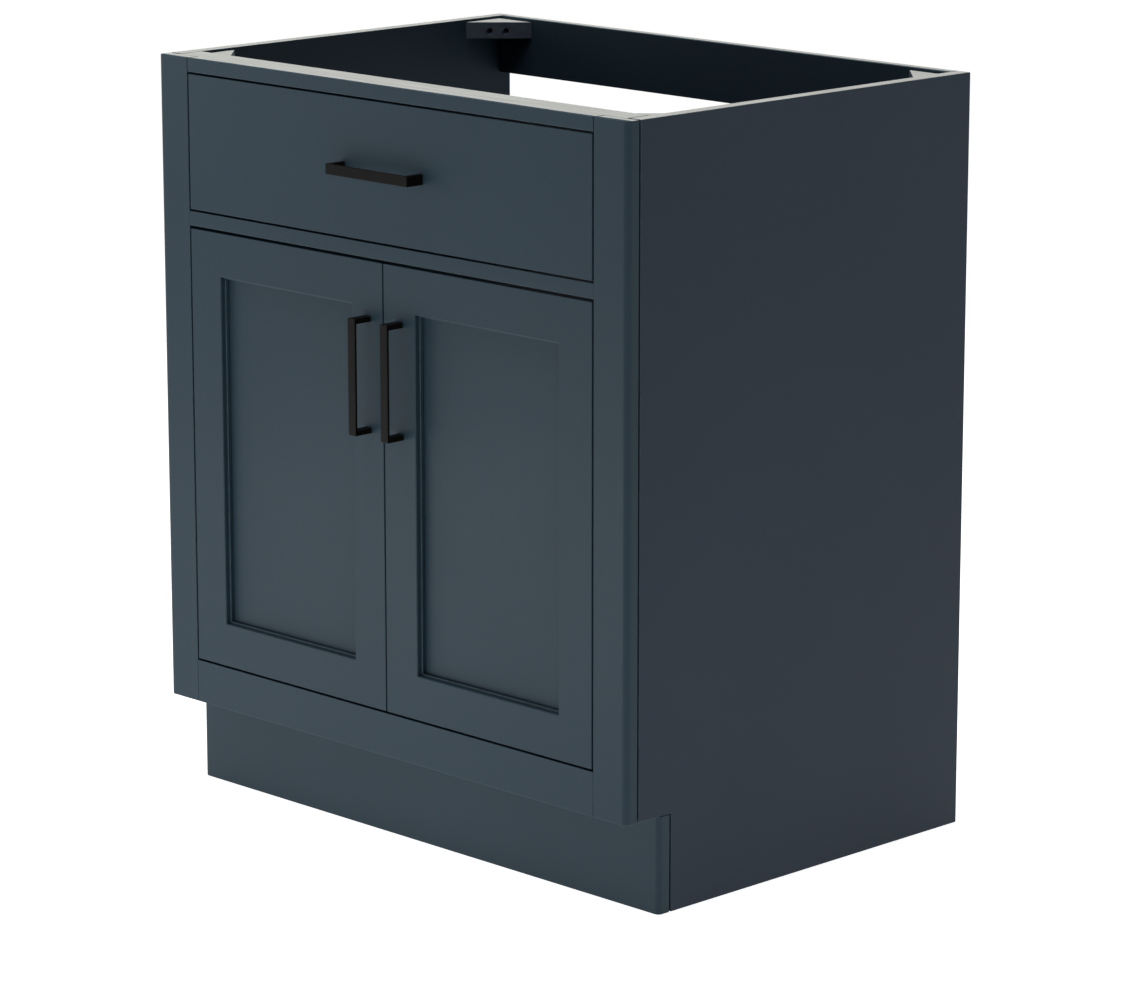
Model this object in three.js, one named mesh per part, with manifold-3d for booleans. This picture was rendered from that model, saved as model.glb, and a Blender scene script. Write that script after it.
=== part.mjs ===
// Single-sink bathroom vanity base cabinet: an open-topped, open-backed painted carcass with a
// face frame, two inset shaker doors on concealed hinges and a tip-out top front with a tray.
// Millimetres, +Z up, front towards -Y. The origin is on the floor, under the middle of the
// bounding box. Depths (D) are measured back from the front face of the face frame.
import * as THREE from 'three';
import { mergeVertices } from 'three/addons/utils/BufferGeometryUtils.js';
import Module from 'manifold-3d';

const wasm = await Module();
wasm.setup();

// ---- driving dimensions ---------------------------------------------------------------------
const WIDTH = 762;
const DEPTH = 546.1;
const HEIGHT = 876.3;
const SEAM = 0.3; // clearance left where two pieces meet

const FRAME_T = 17; // face frame thickness
const STILE_W = 50.5;
const STILE_ROUND = 7; // rounded outer front edge of the stiles
const TOP_RAIL_H = 15.8;
const MIDDLE_RAIL_Z = [682.2, 699];
const BOTTOM_RAIL_Z = [112, 162.5];

const PANEL_T = 18;
const FLOOR_T = 16;
const STRETCHER_D = 50;
const BACK_RAIL_H = 69.3;
const LOWER_RAIL_H = 70;
const CLEAT_D = 80;

const TOE_SETBACK = 50.6;
const TOE_T = 17;
const TOE_H = 112;
const TOE_ROUND = 6;

const BLOCK_LEG = { front: 50, back: 57 };
const BLOCK_H = 20;
const BLOCK_DROP = 3; // block tops sit this far below the rim

const REVEAL = 2; // gap round the doors and the tip-out front
const FRONT_T = 19;
const DOOR_Z = [164.5, 679.6];
const MEMBER_W = 51; // door stiles and rails
const LEDGE_W = 2.5; // inner step of the door frame
const LEDGE_D = [5.5, 10.2];
const PANEL_D = [10.5, 16.5]; // front and back of the door panel

const PULL_REACH = 24;
const PULL_W = 12; // width of the flat bar
const PULL_GRIP_T = 3;
const PULL_LEG_T = 6;
const PULL_CENTRES = 127;
const PULL_DOOR_Z = 550;
const PULL_TOP_Z = 780;
const PULL_SCREW_R = 2;
const PULL_SCREW_HEAD = { r: 4, t: 2.5 };
const PULL_SCREW_BITE = 10; // length of screw inside the pull

// Hinge sizes: "in" is measured from the door's hinge edge towards its middle, D from the face.
const HINGE_Z = [258, 586];
const CUP_R = 17.5;
const CUP_DEPTH = 11.5;
const CUP_IN = 21.5;
const CUP_WALL = 1;
const FLANGE_T = 1.2;
const FLANGE_R = 19.5;
const EAR = { in: 31, z: 22.5, r: 5.5, neck: 14 };
const KNUCKLE = { in: 33.5, d: 12.5 }; // pin joining the arm's nose and the link
const LINK_END = { in: 14.5, d: 14 };
const ARM = { w: 14, leg: [1.1, 5.1], back: 78, bridge: [22, 25] };
const NOSE = { w: 8, half: 3, tip: 2.8 }; // tip: how far the nose runs past the knuckle's middle
const RIVET_R = 1.5;
const LINK = { t: 1.5, half: 1.2, eye: 2.6, foot: 1.9, side: 0.4 }; // side: clearance to the nose
const PLATE = { d: [30, 74], t: 2.5, spineHalf: 9, wingHalf: 24, wingInset: [12, 14], holeZ: 18, holeR: 2.2 };

const EASE = 2; // rounded bottom front edge of the tip-out front
const TIP_PIVOT = { d: 5, z: 705.5 };
const TIP_PIN = { r: 1.5, bore: 1.9, reach: 8, lap: 3 }; // lap: bracket in front of the pin
const BRACKET_T = 1.5;
const BRACKET_Z = [699.8, 774];
const GUIDE = { r: 64, closed: 70, open: 30, pin: 2, reach: 6 }; // arc radius and pin angles in degrees
const STAY = { x: [326.4, 327.9], flangeW: 16, flangeZ: [722, 770], rim: 9, overrun: [8, 6] };
const TRAY = { halfWidth: 300, d: [19.3, 62], z: [716, 772], wall: 2 };

// ---- worked-out places ----------------------------------------------------------------------
const HALF_W = WIDTH / 2;
const FACE_Y = PULL_REACH - (DEPTH + PULL_REACH) / 2;
const OPENING_X = HALF_W - STILE_W; // inner edges of the stiles
const INSIDE_X = HALF_W - PANEL_T; // inner faces of the side panels
const BEHIND_FRAME = FRAME_T + SEAM;
const FRONT_X = OPENING_X - REVEAL; // outer edges of the doors and of the tip-out front
const TIP_FRONT_Z = [MIDDLE_RAIL_Z[1] + REVEAL, HEIGHT - TOP_RAIL_H - REVEAL];
const FLOOR_Z = [BOTTOM_RAIL_Z[1] - SEAM - FLOOR_T, BOTTOM_RAIL_Z[1] - SEAM];
const SIDES = { left: -1, right: 1 };

// ---- finishes -------------------------------------------------------------------------------
const finish = (name, color, roughness, metalness) =>
  new THREE.MeshStandardMaterial({ name, color, roughness, metalness });
const navyPaint = finish('navy_paint', 0x3b4a54, 0.45, 0);
const insidePaint = finish('inside_paint', 0x1b242c, 0.5, 0);
const blackMetal = finish('black_metal', 0x23211e, 0.4, 0.7);
const nickelSteel = finish('nickel_steel', 0xb4b6b8, 0.3, 1);
const zincSteel = finish('zinc_steel', 0x9a9c9e, 0.4, 1);
const trayPlastic = finish('tray_plastic', 0xe6e4dc, 0.5, 0);

// ---- solid helpers --------------------------------------------------------------------------
function toManifold(geometry) {
  const bare = geometry.index ? geometry.toNonIndexed() : geometry.clone();
  bare.deleteAttribute('normal');
  bare.deleteAttribute('uv');
  const merged = mergeVertices(bare, 1e-4);
  const mesh = new wasm.Mesh({
    numProp: 3,
    vertProperties: new Float32Array(merged.attributes.position.array),
    triVerts: new Uint32Array(merged.index.array),
  });
  return new wasm.Manifold(mesh);
}

function fromManifold(manifold) {
  const { vertProperties, triVerts } = manifold.getMesh();
  const geometry = new THREE.BufferGeometry();
  geometry.setAttribute('position', new THREE.BufferAttribute(vertProperties, 3));
  geometry.setIndex(new THREE.BufferAttribute(triVerts, 1));
  geometry.computeVertexNormals();
  return geometry;
}

function combine(operation, base, others) {
  const result = others.reduce((sum, other) => sum[operation](toManifold(other)), toManifold(base));
  return fromManifold(result);
}
const join = (base, ...others) => combine('add', base, others);
const cut = (base, ...others) => combine('subtract', base, others);

// A box from its limits along X, depth and Z.
function box([x0, x1], [d0, d1], [z0, z1]) {
  const size = [Math.abs(x1 - x0), d1 - d0, z1 - z0];
  return new THREE.BoxGeometry(...size).translate((x0 + x1) / 2, (d0 + d1) / 2, (z0 + z1) / 2);
}

// A rod from its middle and length, along one axis.
function rod(axis, radius, length, [x, d, z], segments = 24) {
  const geometry = new THREE.CylinderGeometry(radius, radius, length, segments);
  if (axis === 'x') geometry.rotateZ(Math.PI / 2);
  if (axis === 'z') geometry.rotateX(Math.PI / 2);
  return geometry.translate(x, d, z);
}

const rising = (a, b) => (a < b ? [a, b] : [b, a]);
const outline = (points) => new THREE.Shape(points.map(([a, b]) => new THREE.Vector2(a, b)));

// An outline in X and depth, raised from z0 to z1.
function upright(shape, [z0, z1], curveSegments = 8) {
  const options = { depth: z1 - z0, bevelEnabled: false, curveSegments };
  return new THREE.ExtrudeGeometry(shape, options).translate(0, 0, z0);
}

// An outline in depth and Z, thickened from x0 to x1.
function sideways(shape, [x0, x1], curveSegments = 16) {
  const options = { depth: x1 - x0, bevelEnabled: false, curveSegments };
  const geometry = new THREE.ExtrudeGeometry(shape, options);
  return geometry.rotateZ(Math.PI / 2).rotateY(Math.PI / 2).translate(x0, 0, 0);
}

// The limits from `a` to `b` on one side of the cabinet, in rising order.
const span = (side, a, b) => rising(side * a, side * b);

const cabinet = new THREE.Group();
cabinet.position.y = FACE_Y;

function add(name, geometry, material) {
  const mesh = new THREE.Mesh(geometry, material);
  mesh.name = name;
  cabinet.add(mesh);
}

// A board outline with its two front corners rounded by r.
function roundedFront(x0, x1, d0, d1, rLeft, rRight) {
  const shape = new THREE.Shape();
  shape.moveTo(x0, d1);
  shape.lineTo(x0, d0 + rLeft);
  if (rLeft) shape.absarc(x0 + rLeft, d0 + rLeft, rLeft, Math.PI, 1.5 * Math.PI, false);
  shape.lineTo(x1 - rRight, d0);
  if (rRight) shape.absarc(x1 - rRight, d0 + rRight, rRight, 1.5 * Math.PI, 2 * Math.PI, false);
  shape.lineTo(x1, d1);
  return shape;
}

// ---- carcass --------------------------------------------------------------------------------
function addSidePanels() {
  const notched = outline([
    [BEHIND_FRAME, TOE_H], [BEHIND_FRAME, HEIGHT], [DEPTH, HEIGHT], [DEPTH, 0],
    [TOE_SETBACK + TOE_T + SEAM, 0], [TOE_SETBACK + TOE_T + SEAM, TOE_H],
  ]);
  for (const [name, side] of Object.entries(SIDES)) {
    add(`${name}_side_panel`, sideways(notched, span(side, INSIDE_X, HALF_W)), navyPaint);
  }
}

function addFaceFrame() {
  for (const [name, side] of Object.entries(SIDES)) {
    const [x0, x1] = span(side, OPENING_X, HALF_W);
    const rounds = side < 0 ? [STILE_ROUND, 0] : [0, STILE_ROUND];
    const stile = upright(roundedFront(x0, x1, 0, FRAME_T, ...rounds), [TOE_H, HEIGHT]);
    const mortise = box(
      span(side, OPENING_X - 1, OPENING_X + BRACKET_T + SEAM),
      [TIP_PIVOT.d - TIP_PIN.lap - SEAM, FRAME_T + 1],
      [BRACKET_Z[0] - SEAM, BRACKET_Z[1] + SEAM],
    );
    add(`${name}_face_stile`, cut(stile, mortise), navyPaint);
  }
  const railX = [-OPENING_X + SEAM, OPENING_X - SEAM];
  const rails = { top: [HEIGHT - TOP_RAIL_H, HEIGHT], middle: MIDDLE_RAIL_Z, bottom: BOTTOM_RAIL_Z };
  for (const [name, heights] of Object.entries(rails)) {
    add(`${name}_face_rail`, box(railX, [0, FRAME_T], heights), navyPaint);
  }
}

function addInnerBoards() {
  const insideX = [-INSIDE_X + SEAM, INSIDE_X - SEAM];
  const underFloor = [FLOOR_Z[0] - SEAM - LOWER_RAIL_H, FLOOR_Z[0] - SEAM];
  const stretcherZ = [HEIGHT - TOP_RAIL_H, HEIGHT];
  const backD = [DEPTH - PANEL_T, DEPTH];
  add('top_front_stretcher', box(insideX, [BEHIND_FRAME, STRETCHER_D], stretcherZ), insidePaint);
  add('back_rail', box(insideX, backD, [HEIGHT - BACK_RAIL_H, HEIGHT]), insidePaint);
  add('lower_back_rail', box(insideX, backD, underFloor), insidePaint);
  add('cabinet_floor', box(insideX, [BEHIND_FRAME, DEPTH - SEAM], FLOOR_Z), insidePaint);
  for (const [name, side] of Object.entries(SIDES)) {
    const cleatZ = [FLOOR_Z[1] + SEAM, MIDDLE_RAIL_Z[0]];
    const cleat = box(span(side, OPENING_X, INSIDE_X - SEAM), [BEHIND_FRAME, CLEAT_D], cleatZ);
    add(`${name}_hinge_cleat`, cleat, insidePaint);
  }
}

function addToeKick() {
  const board = roundedFront(-HALF_W, HALF_W, TOE_SETBACK, TOE_SETBACK + TOE_T, TOE_ROUND, TOE_ROUND);
  add('toe_kick_board', upright(board, [0, TOE_H - SEAM]), navyPaint);
}

// Triangular blocks that square up the four top corners.
function addCornerBlocks() {
  const top = HEIGHT - BLOCK_DROP;
  const corners = {
    front: { d: STRETCHER_D + SEAM, into: 1 },
    back: { d: DEPTH - PANEL_T - SEAM, into: -1 },
  };
  for (const [end, { d, into }] of Object.entries(corners)) {
    for (const [name, side] of Object.entries(SIDES)) {
      const x = side * (INSIDE_X - SEAM);
      const leg = BLOCK_LEG[end];
      const triangle = outline([[x, d], [x - side * leg, d], [x, d + into * leg]]);
      add(`${end}_${name}_corner_block`, upright(triangle, [top - BLOCK_H, top]), insidePaint);
    }
  }
}

// ---- pulls ----------------------------------------------------------------------------------
// A flat-bar pull drawn from its edge: a thin grip away from the face and a thicker leg at each
// end. It lies along X or stands along Z, and its screws come from behind the front.
function addPull(name, [x, z], standing) {
  const half = (PULL_CENTRES + PULL_LEG_T) / 2;
  const inner = half - PULL_LEG_T;
  const gripBack = PULL_GRIP_T - PULL_REACH;
  const bow = outline([
    [-half, -SEAM], [-half, -PULL_REACH], [half, -PULL_REACH], [half, -SEAM],
    [inner, -SEAM], [inner, gripBack], [-inner, gripBack], [-inner, -SEAM],
  ]);
  const bar = upright(bow, [-PULL_W / 2, PULL_W / 2]);
  const bores = [-1, 1].map((end) =>
    rod('y', PULL_SCREW_R + SEAM, PULL_SCREW_BITE + 1, [end * PULL_CENTRES / 2, -PULL_SCREW_BITE / 2, 0]));
  const pull = cut(bar, ...bores);
  if (standing) pull.rotateY(Math.PI / 2);
  add(name, pull.translate(x, 0, z), blackMetal);
  pullCentres(x, z, standing).forEach(([sx, sz], index) => {
    add(`${name}_screw_${index + 1}`, pullScrew().translate(sx, 0, sz), zincSteel);
  });
}

function pullCentres(x, z, standing) {
  const half = PULL_CENTRES / 2;
  return standing ? [[x, z + half], [x, z - half]] : [[x - half, z], [x + half, z]];
}

// Screw along the depth axis: tip inside the pull, head behind the front.
function pullScrew() {
  const tip = -(PULL_SCREW_BITE - 2);
  const back = FRONT_T + SEAM;
  const profile = [
    [0, tip], [PULL_SCREW_R, tip], [PULL_SCREW_R, back],
    [PULL_SCREW_HEAD.r, back], [PULL_SCREW_HEAD.r, back + PULL_SCREW_HEAD.t], [0, back + PULL_SCREW_HEAD.t],
  ];
  return new THREE.LatheGeometry(profile.map(([r, d]) => new THREE.Vector2(r, d)), 20);
}

const screwHole = ([x, z]) => rod('y', PULL_SCREW_R + SEAM, FRONT_T + 2, [x, FRONT_T / 2, z]);

// ---- doors ----------------------------------------------------------------------------------
// Five pieces: two full-height stiles, two rails between them and a flat panel. The frame has a
// small ledge round its inner edge, in front of the panel.
function addDoor(name, side) {
  const [z0, z1] = DOOR_Z;
  const hingeX = side * FRONT_X;
  const inX = (fromHinge) => hingeX - side * fromHinge;
  const width = FRONT_X - REVEAL / 2;
  const pullX = side * (REVEAL + MEMBER_W) / 2;
  const limits = (a, b) => rising(inX(a), inX(b));
  const sight = [z0 + MEMBER_W, z1 - MEMBER_W];

  const hingeStile = join(
    box(limits(0, MEMBER_W), [0, FRONT_T], DOOR_Z),
    box(limits(MEMBER_W - 1, MEMBER_W + LEDGE_W), LEDGE_D, sight),
  );
  const cupBores = HINGE_Z.map((z) =>
    rod('y', CUP_R + SEAM, CUP_DEPTH + 1, [inX(CUP_IN), FRONT_T - CUP_DEPTH / 2 + 0.2, z], 48));
  add(`${name}_door_hinge_stile`, cut(hingeStile, ...cupBores), navyPaint);

  const meetingStile = join(
    box(limits(width - MEMBER_W, width), [0, FRONT_T], DOOR_Z),
    box(limits(width - MEMBER_W - LEDGE_W, width - MEMBER_W + 1), LEDGE_D, sight),
  );
  const pullHoles = pullCentres(pullX, PULL_DOOR_Z, true).map(screwHole);
  add(`${name}_door_meeting_stile`, cut(meetingStile, ...pullHoles), navyPaint);

  const railX = limits(MEMBER_W + SEAM, width - MEMBER_W - SEAM);
  const ledgeX = limits(MEMBER_W + LEDGE_W + SEAM, width - MEMBER_W - LEDGE_W - SEAM);
  const topRail = join(
    box(railX, [0, FRONT_T], [sight[1] + SEAM, z1]),
    box(ledgeX, LEDGE_D, [sight[1] - LEDGE_W, sight[1] + 1]),
  );
  const bottomRail = join(
    box(railX, [0, FRONT_T], [z0, sight[0] - SEAM]),
    box(ledgeX, LEDGE_D, [sight[0] - 1, sight[0] + LEDGE_W]),
  );
  add(`${name}_door_top_rail`, topRail, navyPaint);
  add(`${name}_door_bottom_rail`, bottomRail, navyPaint);
  add(`${name}_door_panel`, box(railX, PANEL_D, [sight[0], sight[1]]), navyPaint);
  addPull(`${name}_door_pull`, [pullX, PULL_DOOR_Z], true);
}

// ---- concealed door hinges ------------------------------------------------------------------
// Cup and flange pressed into the door, with a hollow cup that the arm's nose and the link enter.
function hingeCup(inX, z) {
  const floor = FRONT_T - CUP_DEPTH;
  const ring = [
    [0, floor], [CUP_R, floor], [CUP_R, FRONT_T + SEAM], [FLANGE_R, FRONT_T + SEAM],
    [FLANGE_R, FRONT_T + SEAM + FLANGE_T], [CUP_R - CUP_WALL, FRONT_T + SEAM + FLANGE_T],
    [CUP_R - CUP_WALL, floor + CUP_WALL], [0, floor + CUP_WALL],
  ];
  const cup = new THREE.LatheGeometry(ring.map(([r, d]) => new THREE.Vector2(r, d)), 40);
  cup.translate(inX(CUP_IN), 0, z);
  const ears = [-1, 1].map((end) => {
    const ear = rod('y', EAR.r, FLANGE_T, [inX(EAR.in), FRONT_T + SEAM + FLANGE_T / 2, z + end * EAR.z]);
    const neckX = rising(inX(EAR.in - EAR.r), inX(EAR.in + EAR.r));
    const neckZ = rising(z + end * EAR.neck, z + end * EAR.z);
    return join(ear, box(neckX, [FRONT_T + SEAM, FRONT_T + SEAM + FLANGE_T], neckZ));
  });
  const hollow = rod('y', CUP_R - CUP_WALL, 4, [inX(CUP_IN), FRONT_T + 2, z], 40);
  return cut(join(cup, ...ears), hollow);
}

// Gooseneck arm: a leg along the cleat, a bridge over the door's back and a nose into the cup.
function hingeArm(inX, z) {
  const [near, far] = [inX(KNUCKLE.in - NOSE.half), inX(KNUCKLE.in + NOSE.half)];
  const [legNear, legFar] = ARM.leg.map(inX);
  const [under, over] = ARM.bridge;
  const leg = outline([
    [legNear, ARM.back], [legFar, ARM.back], [legFar, over], [far, over], [far, under], [legNear, under],
  ]);
  const tipD = KNUCKLE.d - NOSE.tip;
  const nose = outline([
    [near, over - 1], [far, over - 1], [far, KNUCKLE.d],
    [inX(KNUCKLE.in + NOSE.half / 2), tipD], [inX(KNUCKLE.in - NOSE.half / 2), tipD],
    [near, KNUCKLE.d],
  ]);
  const arm = join(
    upright(leg, [z - ARM.w / 2, z + ARM.w / 2]),
    upright(nose, [z - NOSE.w / 2, z + NOSE.w / 2]),
  );
  return cut(arm, rod('z', RIVET_R + SEAM, NOSE.w + 2, [inX(KNUCKLE.in), KNUCKLE.d, z]));
}

// Link: two cheeks either side of the nose, held by a rivet and closed by a bar in the cup.
function hingeLink(inX, z) {
  const cheekZ = NOSE.w / 2 + LINK.side;
  const from = new THREE.Vector2(inX(KNUCKLE.in), KNUCKLE.d);
  const to = new THREE.Vector2(inX(LINK_END.in), LINK_END.d);
  const across = to.clone().sub(from).normalize().rotateAround(new THREE.Vector2(), Math.PI / 2);
  const { half } = LINK;
  const strip = [[from, half], [to, half], [to, -half], [from, -half]].map(([point, offset]) =>
    [point.x + across.x * offset, point.y + across.y * offset]);
  const pieces = [-1, 1].flatMap((end) => {
    const cheek = rising(z + end * cheekZ, z + end * (cheekZ + LINK.t));
    const middle = (cheek[0] + cheek[1]) / 2;
    return [
      upright(outline(strip), cheek),
      rod('z', LINK.eye, LINK.t, [from.x, from.y, middle]),
      rod('z', LINK.foot, LINK.t, [to.x, to.y, middle]),
    ];
  });
  const length = 2 * (cheekZ + LINK.t);
  const rivet = rod('z', RIVET_R, length, [from.x, from.y, z]);
  const bar = rod('z', LINK.foot - SEAM, length, [to.x, to.y, z]);
  return join(rivet, bar, ...pieces);
}

// Plate screwed to the cleat, under the arm's leg.
function hingePlate(side, z) {
  const plateX = span(side, OPENING_X - SEAM - PLATE.t, OPENING_X - SEAM);
  const wingD = [PLATE.d[0] + PLATE.wingInset[0], PLATE.d[1] - PLATE.wingInset[1]];
  const spine = box(plateX, PLATE.d, [z - PLATE.spineHalf, z + PLATE.spineHalf]);
  const wing = box(plateX, wingD, [z - PLATE.wingHalf, z + PLATE.wingHalf]);
  const holes = [-1, 1].map((end) =>
    rod('x', PLATE.holeR, 8, [side * OPENING_X, (wingD[0] + wingD[1]) / 2, z + end * PLATE.holeZ], 16));
  return cut(join(spine, wing), ...holes);
}

function addHinges(name, side) {
  const inX = (fromEdge) => side * (FRONT_X - fromEdge);
  ['lower', 'upper'].forEach((level, index) => {
    const z = HINGE_Z[index];
    add(`${name}_${level}_hinge_cup`, hingeCup(inX, z), nickelSteel);
    add(`${name}_${level}_hinge_arm`, hingeArm(inX, z), nickelSteel);
    add(`${name}_${level}_hinge_link`, hingeLink(inX, z), nickelSteel);
    add(`${name}_${level}_hinge_plate`, hingePlate(side, z), nickelSteel);
  });
}

// ---- tip-out front --------------------------------------------------------------------------
// The slab turns on two pivot pins near its bottom edge. Each end has a stay whose curved slot
// runs over a guide pin, which stops the front at its open angle.
function addTipOutFront() {
  const slab = box([-FRONT_X, FRONT_X], [0, FRONT_T], TIP_FRONT_Z);
  const pinBores = Object.values(SIDES).map((side) =>
    rod('x', TIP_PIN.bore, 2 * (TIP_PIN.reach - REVEAL + 1), [side * FRONT_X, TIP_PIVOT.d, TIP_PIVOT.z]));
  const easeZ = TIP_FRONT_Z[0] + EASE;
  const easedEdge = rod('x', EASE, 2 * FRONT_X + 2, [0, EASE, easeZ], 32);
  const corner = box([-FRONT_X - 1, FRONT_X + 1], [-1, EASE], [TIP_FRONT_Z[0] - 1, easeZ]);
  const screwHoles = pullCentres(0, PULL_TOP_Z, false).map(screwHole);
  add('tip_out_front', cut(slab, cut(corner, easedEdge), ...pinBores, ...screwHoles), navyPaint);

  const outer = box([-TRAY.halfWidth, TRAY.halfWidth], TRAY.d, TRAY.z);
  const inner = box(
    [-TRAY.halfWidth + TRAY.wall, TRAY.halfWidth - TRAY.wall],
    [TRAY.d[0] + TRAY.wall, TRAY.d[1] - TRAY.wall],
    [TRAY.z[0] + TRAY.wall, TRAY.z[1] + 1],
  );
  add('tip_out_tray', cut(outer, inner), trayPlastic);
  addPull('tip_out_pull', [0, PULL_TOP_Z], false);
}

const radians = (degrees) => THREE.MathUtils.degToRad(degrees);
const polar = (radius, degrees) =>
  [TIP_PIVOT.d + radius * Math.cos(radians(degrees)), TIP_PIVOT.z + radius * Math.sin(radians(degrees))];

// Curved slot through the stay, centred on the front's pivot.
function guideSlot() {
  const clearance = GUIDE.pin + SEAM;
  const [a0, a1] = [radians(GUIDE.open - 0.5), radians(GUIDE.closed + 0.5)];
  const slot = new THREE.Path();
  slot.absarc(TIP_PIVOT.d, TIP_PIVOT.z, GUIDE.r + clearance, a0, a1, false);
  slot.absarc(...polar(GUIDE.r, GUIDE.closed + 0.5), clearance, a1, a1 + Math.PI, false);
  slot.absarc(TIP_PIVOT.d, TIP_PIVOT.z, GUIDE.r - clearance, a1, a0, true);
  slot.absarc(...polar(GUIDE.r, GUIDE.open - 0.5), clearance, a0 + Math.PI, a0 + 2 * Math.PI, false);
  return slot;
}

function addStaysAndBrackets() {
  const flangeD = [FRONT_T + SEAM, FRONT_T + SEAM + BRACKET_T];
  const rim = GUIDE.r + STAY.rim;
  const [from, to] = [GUIDE.open - STAY.overrun[0], GUIDE.closed + STAY.overrun[1]];
  const plate = new THREE.Shape();
  plate.moveTo(flangeD[0], STAY.flangeZ[0]);
  plate.lineTo(...polar(rim, from));
  plate.absarc(TIP_PIVOT.d, TIP_PIVOT.z, rim, radians(from), radians(to), false);
  plate.lineTo(flangeD[0], polar(rim, to)[1]);
  plate.holes.push(guideSlot());
  const [pinD, pinZ] = polar(GUIDE.r, GUIDE.closed);
  const bracketOutline = outline([
    [TIP_PIVOT.d - TIP_PIN.lap, BRACKET_Z[0]], [FRAME_T - 1, BRACKET_Z[0]], [pinD + 8, pinZ - 10],
    [pinD + 8, BRACKET_Z[1]], [TIP_PIVOT.d - TIP_PIN.lap, BRACKET_Z[1]],
  ]);
  for (const [name, side] of Object.entries(SIDES)) {
    const web = sideways(plate, span(side, ...STAY.x), 24);
    const flange = box(span(side, STAY.x[1] - STAY.flangeW, STAY.x[1]), flangeD, STAY.flangeZ);
    add(`${name}_tip_out_stay`, join(web, flange), nickelSteel);
    const bracket = sideways(bracketOutline, span(side, OPENING_X, OPENING_X + BRACKET_T));
    const pin = (radius, reach, [d, z]) =>
      rod('x', radius, reach + 1, [side * (OPENING_X + (1 - reach) / 2), d, z]);
    const pivotPin = pin(TIP_PIN.r, TIP_PIN.reach, [TIP_PIVOT.d, TIP_PIVOT.z]);
    const guidePin = pin(GUIDE.pin, GUIDE.reach, [pinD, pinZ]);
    add(`${name}_tip_out_bracket`, join(bracket, pivotPin, guidePin), nickelSteel);
  }
}

// ---- the cabinet ----------------------------------------------------------------------------
addSidePanels();
addFaceFrame();
addInnerBoards();
addToeKick();
addCornerBlocks();
for (const [name, side] of Object.entries(SIDES)) {
  addDoor(name, side);
  addHinges(name, side);
}
addTipOutFront();
addStaysAndBrackets();

export default cabinet;
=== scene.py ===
"""Finished bathroom vanity cabinet: painted boards, shaker doors, pulls and fittings.

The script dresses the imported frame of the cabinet. Every board is rebuilt with eased edges and a
painted or raw finish, the hardware gets its pressed and cast shapes, and the screws and tray ribs
come from Geometry Nodes. Sizes are in metres, in the frame's own axes: +Z up, front towards -Y.
"""

from __future__ import annotations

import logging
import math
from collections.abc import Callable, Sequence
from dataclasses import dataclass, field
from enum import Enum

import bmesh
import bpy
from mathutils import Matrix, Vector


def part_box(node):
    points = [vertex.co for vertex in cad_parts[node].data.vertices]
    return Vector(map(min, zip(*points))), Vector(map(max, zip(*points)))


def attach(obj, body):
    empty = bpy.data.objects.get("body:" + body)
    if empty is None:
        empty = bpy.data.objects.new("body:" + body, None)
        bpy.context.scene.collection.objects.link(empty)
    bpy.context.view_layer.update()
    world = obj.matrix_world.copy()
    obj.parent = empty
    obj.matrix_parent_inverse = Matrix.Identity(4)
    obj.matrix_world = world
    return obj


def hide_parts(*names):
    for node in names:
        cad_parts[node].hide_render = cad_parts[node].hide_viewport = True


LOG = logging.getLogger("vanity")
MM = 0.001
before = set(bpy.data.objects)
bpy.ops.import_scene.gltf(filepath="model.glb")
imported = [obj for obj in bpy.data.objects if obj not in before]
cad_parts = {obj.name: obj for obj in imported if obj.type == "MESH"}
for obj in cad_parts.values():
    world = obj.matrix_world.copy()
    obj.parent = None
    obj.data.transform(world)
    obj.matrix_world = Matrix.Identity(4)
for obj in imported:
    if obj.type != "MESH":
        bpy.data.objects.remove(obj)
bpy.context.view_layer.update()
BRACKET_SETBACK = 1.0 * MM  # keeps the pivot brackets out of sight in the gap beside the front
CUP_INSET = 21.5 * MM  # from a door's hinge edge in to the middle of its hinge cups
EAR_INSET = 31 * MM  # from the same edge in to the screws of the cups' ears
EAR_REACH = 22.5 * MM  # from a cup's middle up and down to those screws
POCKET_LEAN = 0.75  # how far a screw pocket leans sideways and up for each unit inwards
POCKET_DROP = 1.5 * MM  # how far below a block's middle its pockets open
POCKET_SHIFT = 2 * MM  # how far along the block's long face the pair is moved
POCKET_SPREAD = 10.0  # millimetres from the middle of the pair to each pocket
HAIR = 0.1 * MM  # slack for telling whether a point lies on a plane

Point2 = tuple[float, float]
Colour = tuple[float, float, float]


# ---- named options --------------------------------------------------------------------------
class Axis(Enum):
    """The axis that an outline is raised along."""

    X = "x"
    Y = "y"
    Z = "z"

    def place(self, a: float, b: float, along: float) -> Vector:
        """Turns outline coordinates and a distance along the axis into a point.

        Args:
            a: First outline coordinate.
            b: Second outline coordinate.
            along: Distance along this axis.

        Returns:
            The point in the frame's axes.
        """
        places = {Axis.X: (along, a, b), Axis.Y: (a, along, b), Axis.Z: (a, b, along)}
        return Vector(places[self])


class Side(Enum):
    """The left or right half of the cabinet, seen from the front."""

    LEFT = -1
    RIGHT = 1

    @property
    def word(self) -> str:
        """The side's name in lower case."""
        return self.name.lower()

    def pick(self, if_left: float, if_right: float) -> float:
        """Returns the first value for the left side and the second for the right."""
        return if_left if self is Side.LEFT else if_right


class Grain(Enum):
    """The direction of a board's grain, as a stretch of its pattern along X, Y and Z."""

    ALONG_X = (0.06, 1.0, 1.0)
    ALONG_Y = (1.0, 0.06, 1.0)
    ALONG_Z = (1.0, 1.0, 0.06)


class Surface(Enum):
    """Material slots of a board, in the order of its slots."""

    OUTSIDE = 0
    RAW = 1
    INSIDE = 2


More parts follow.
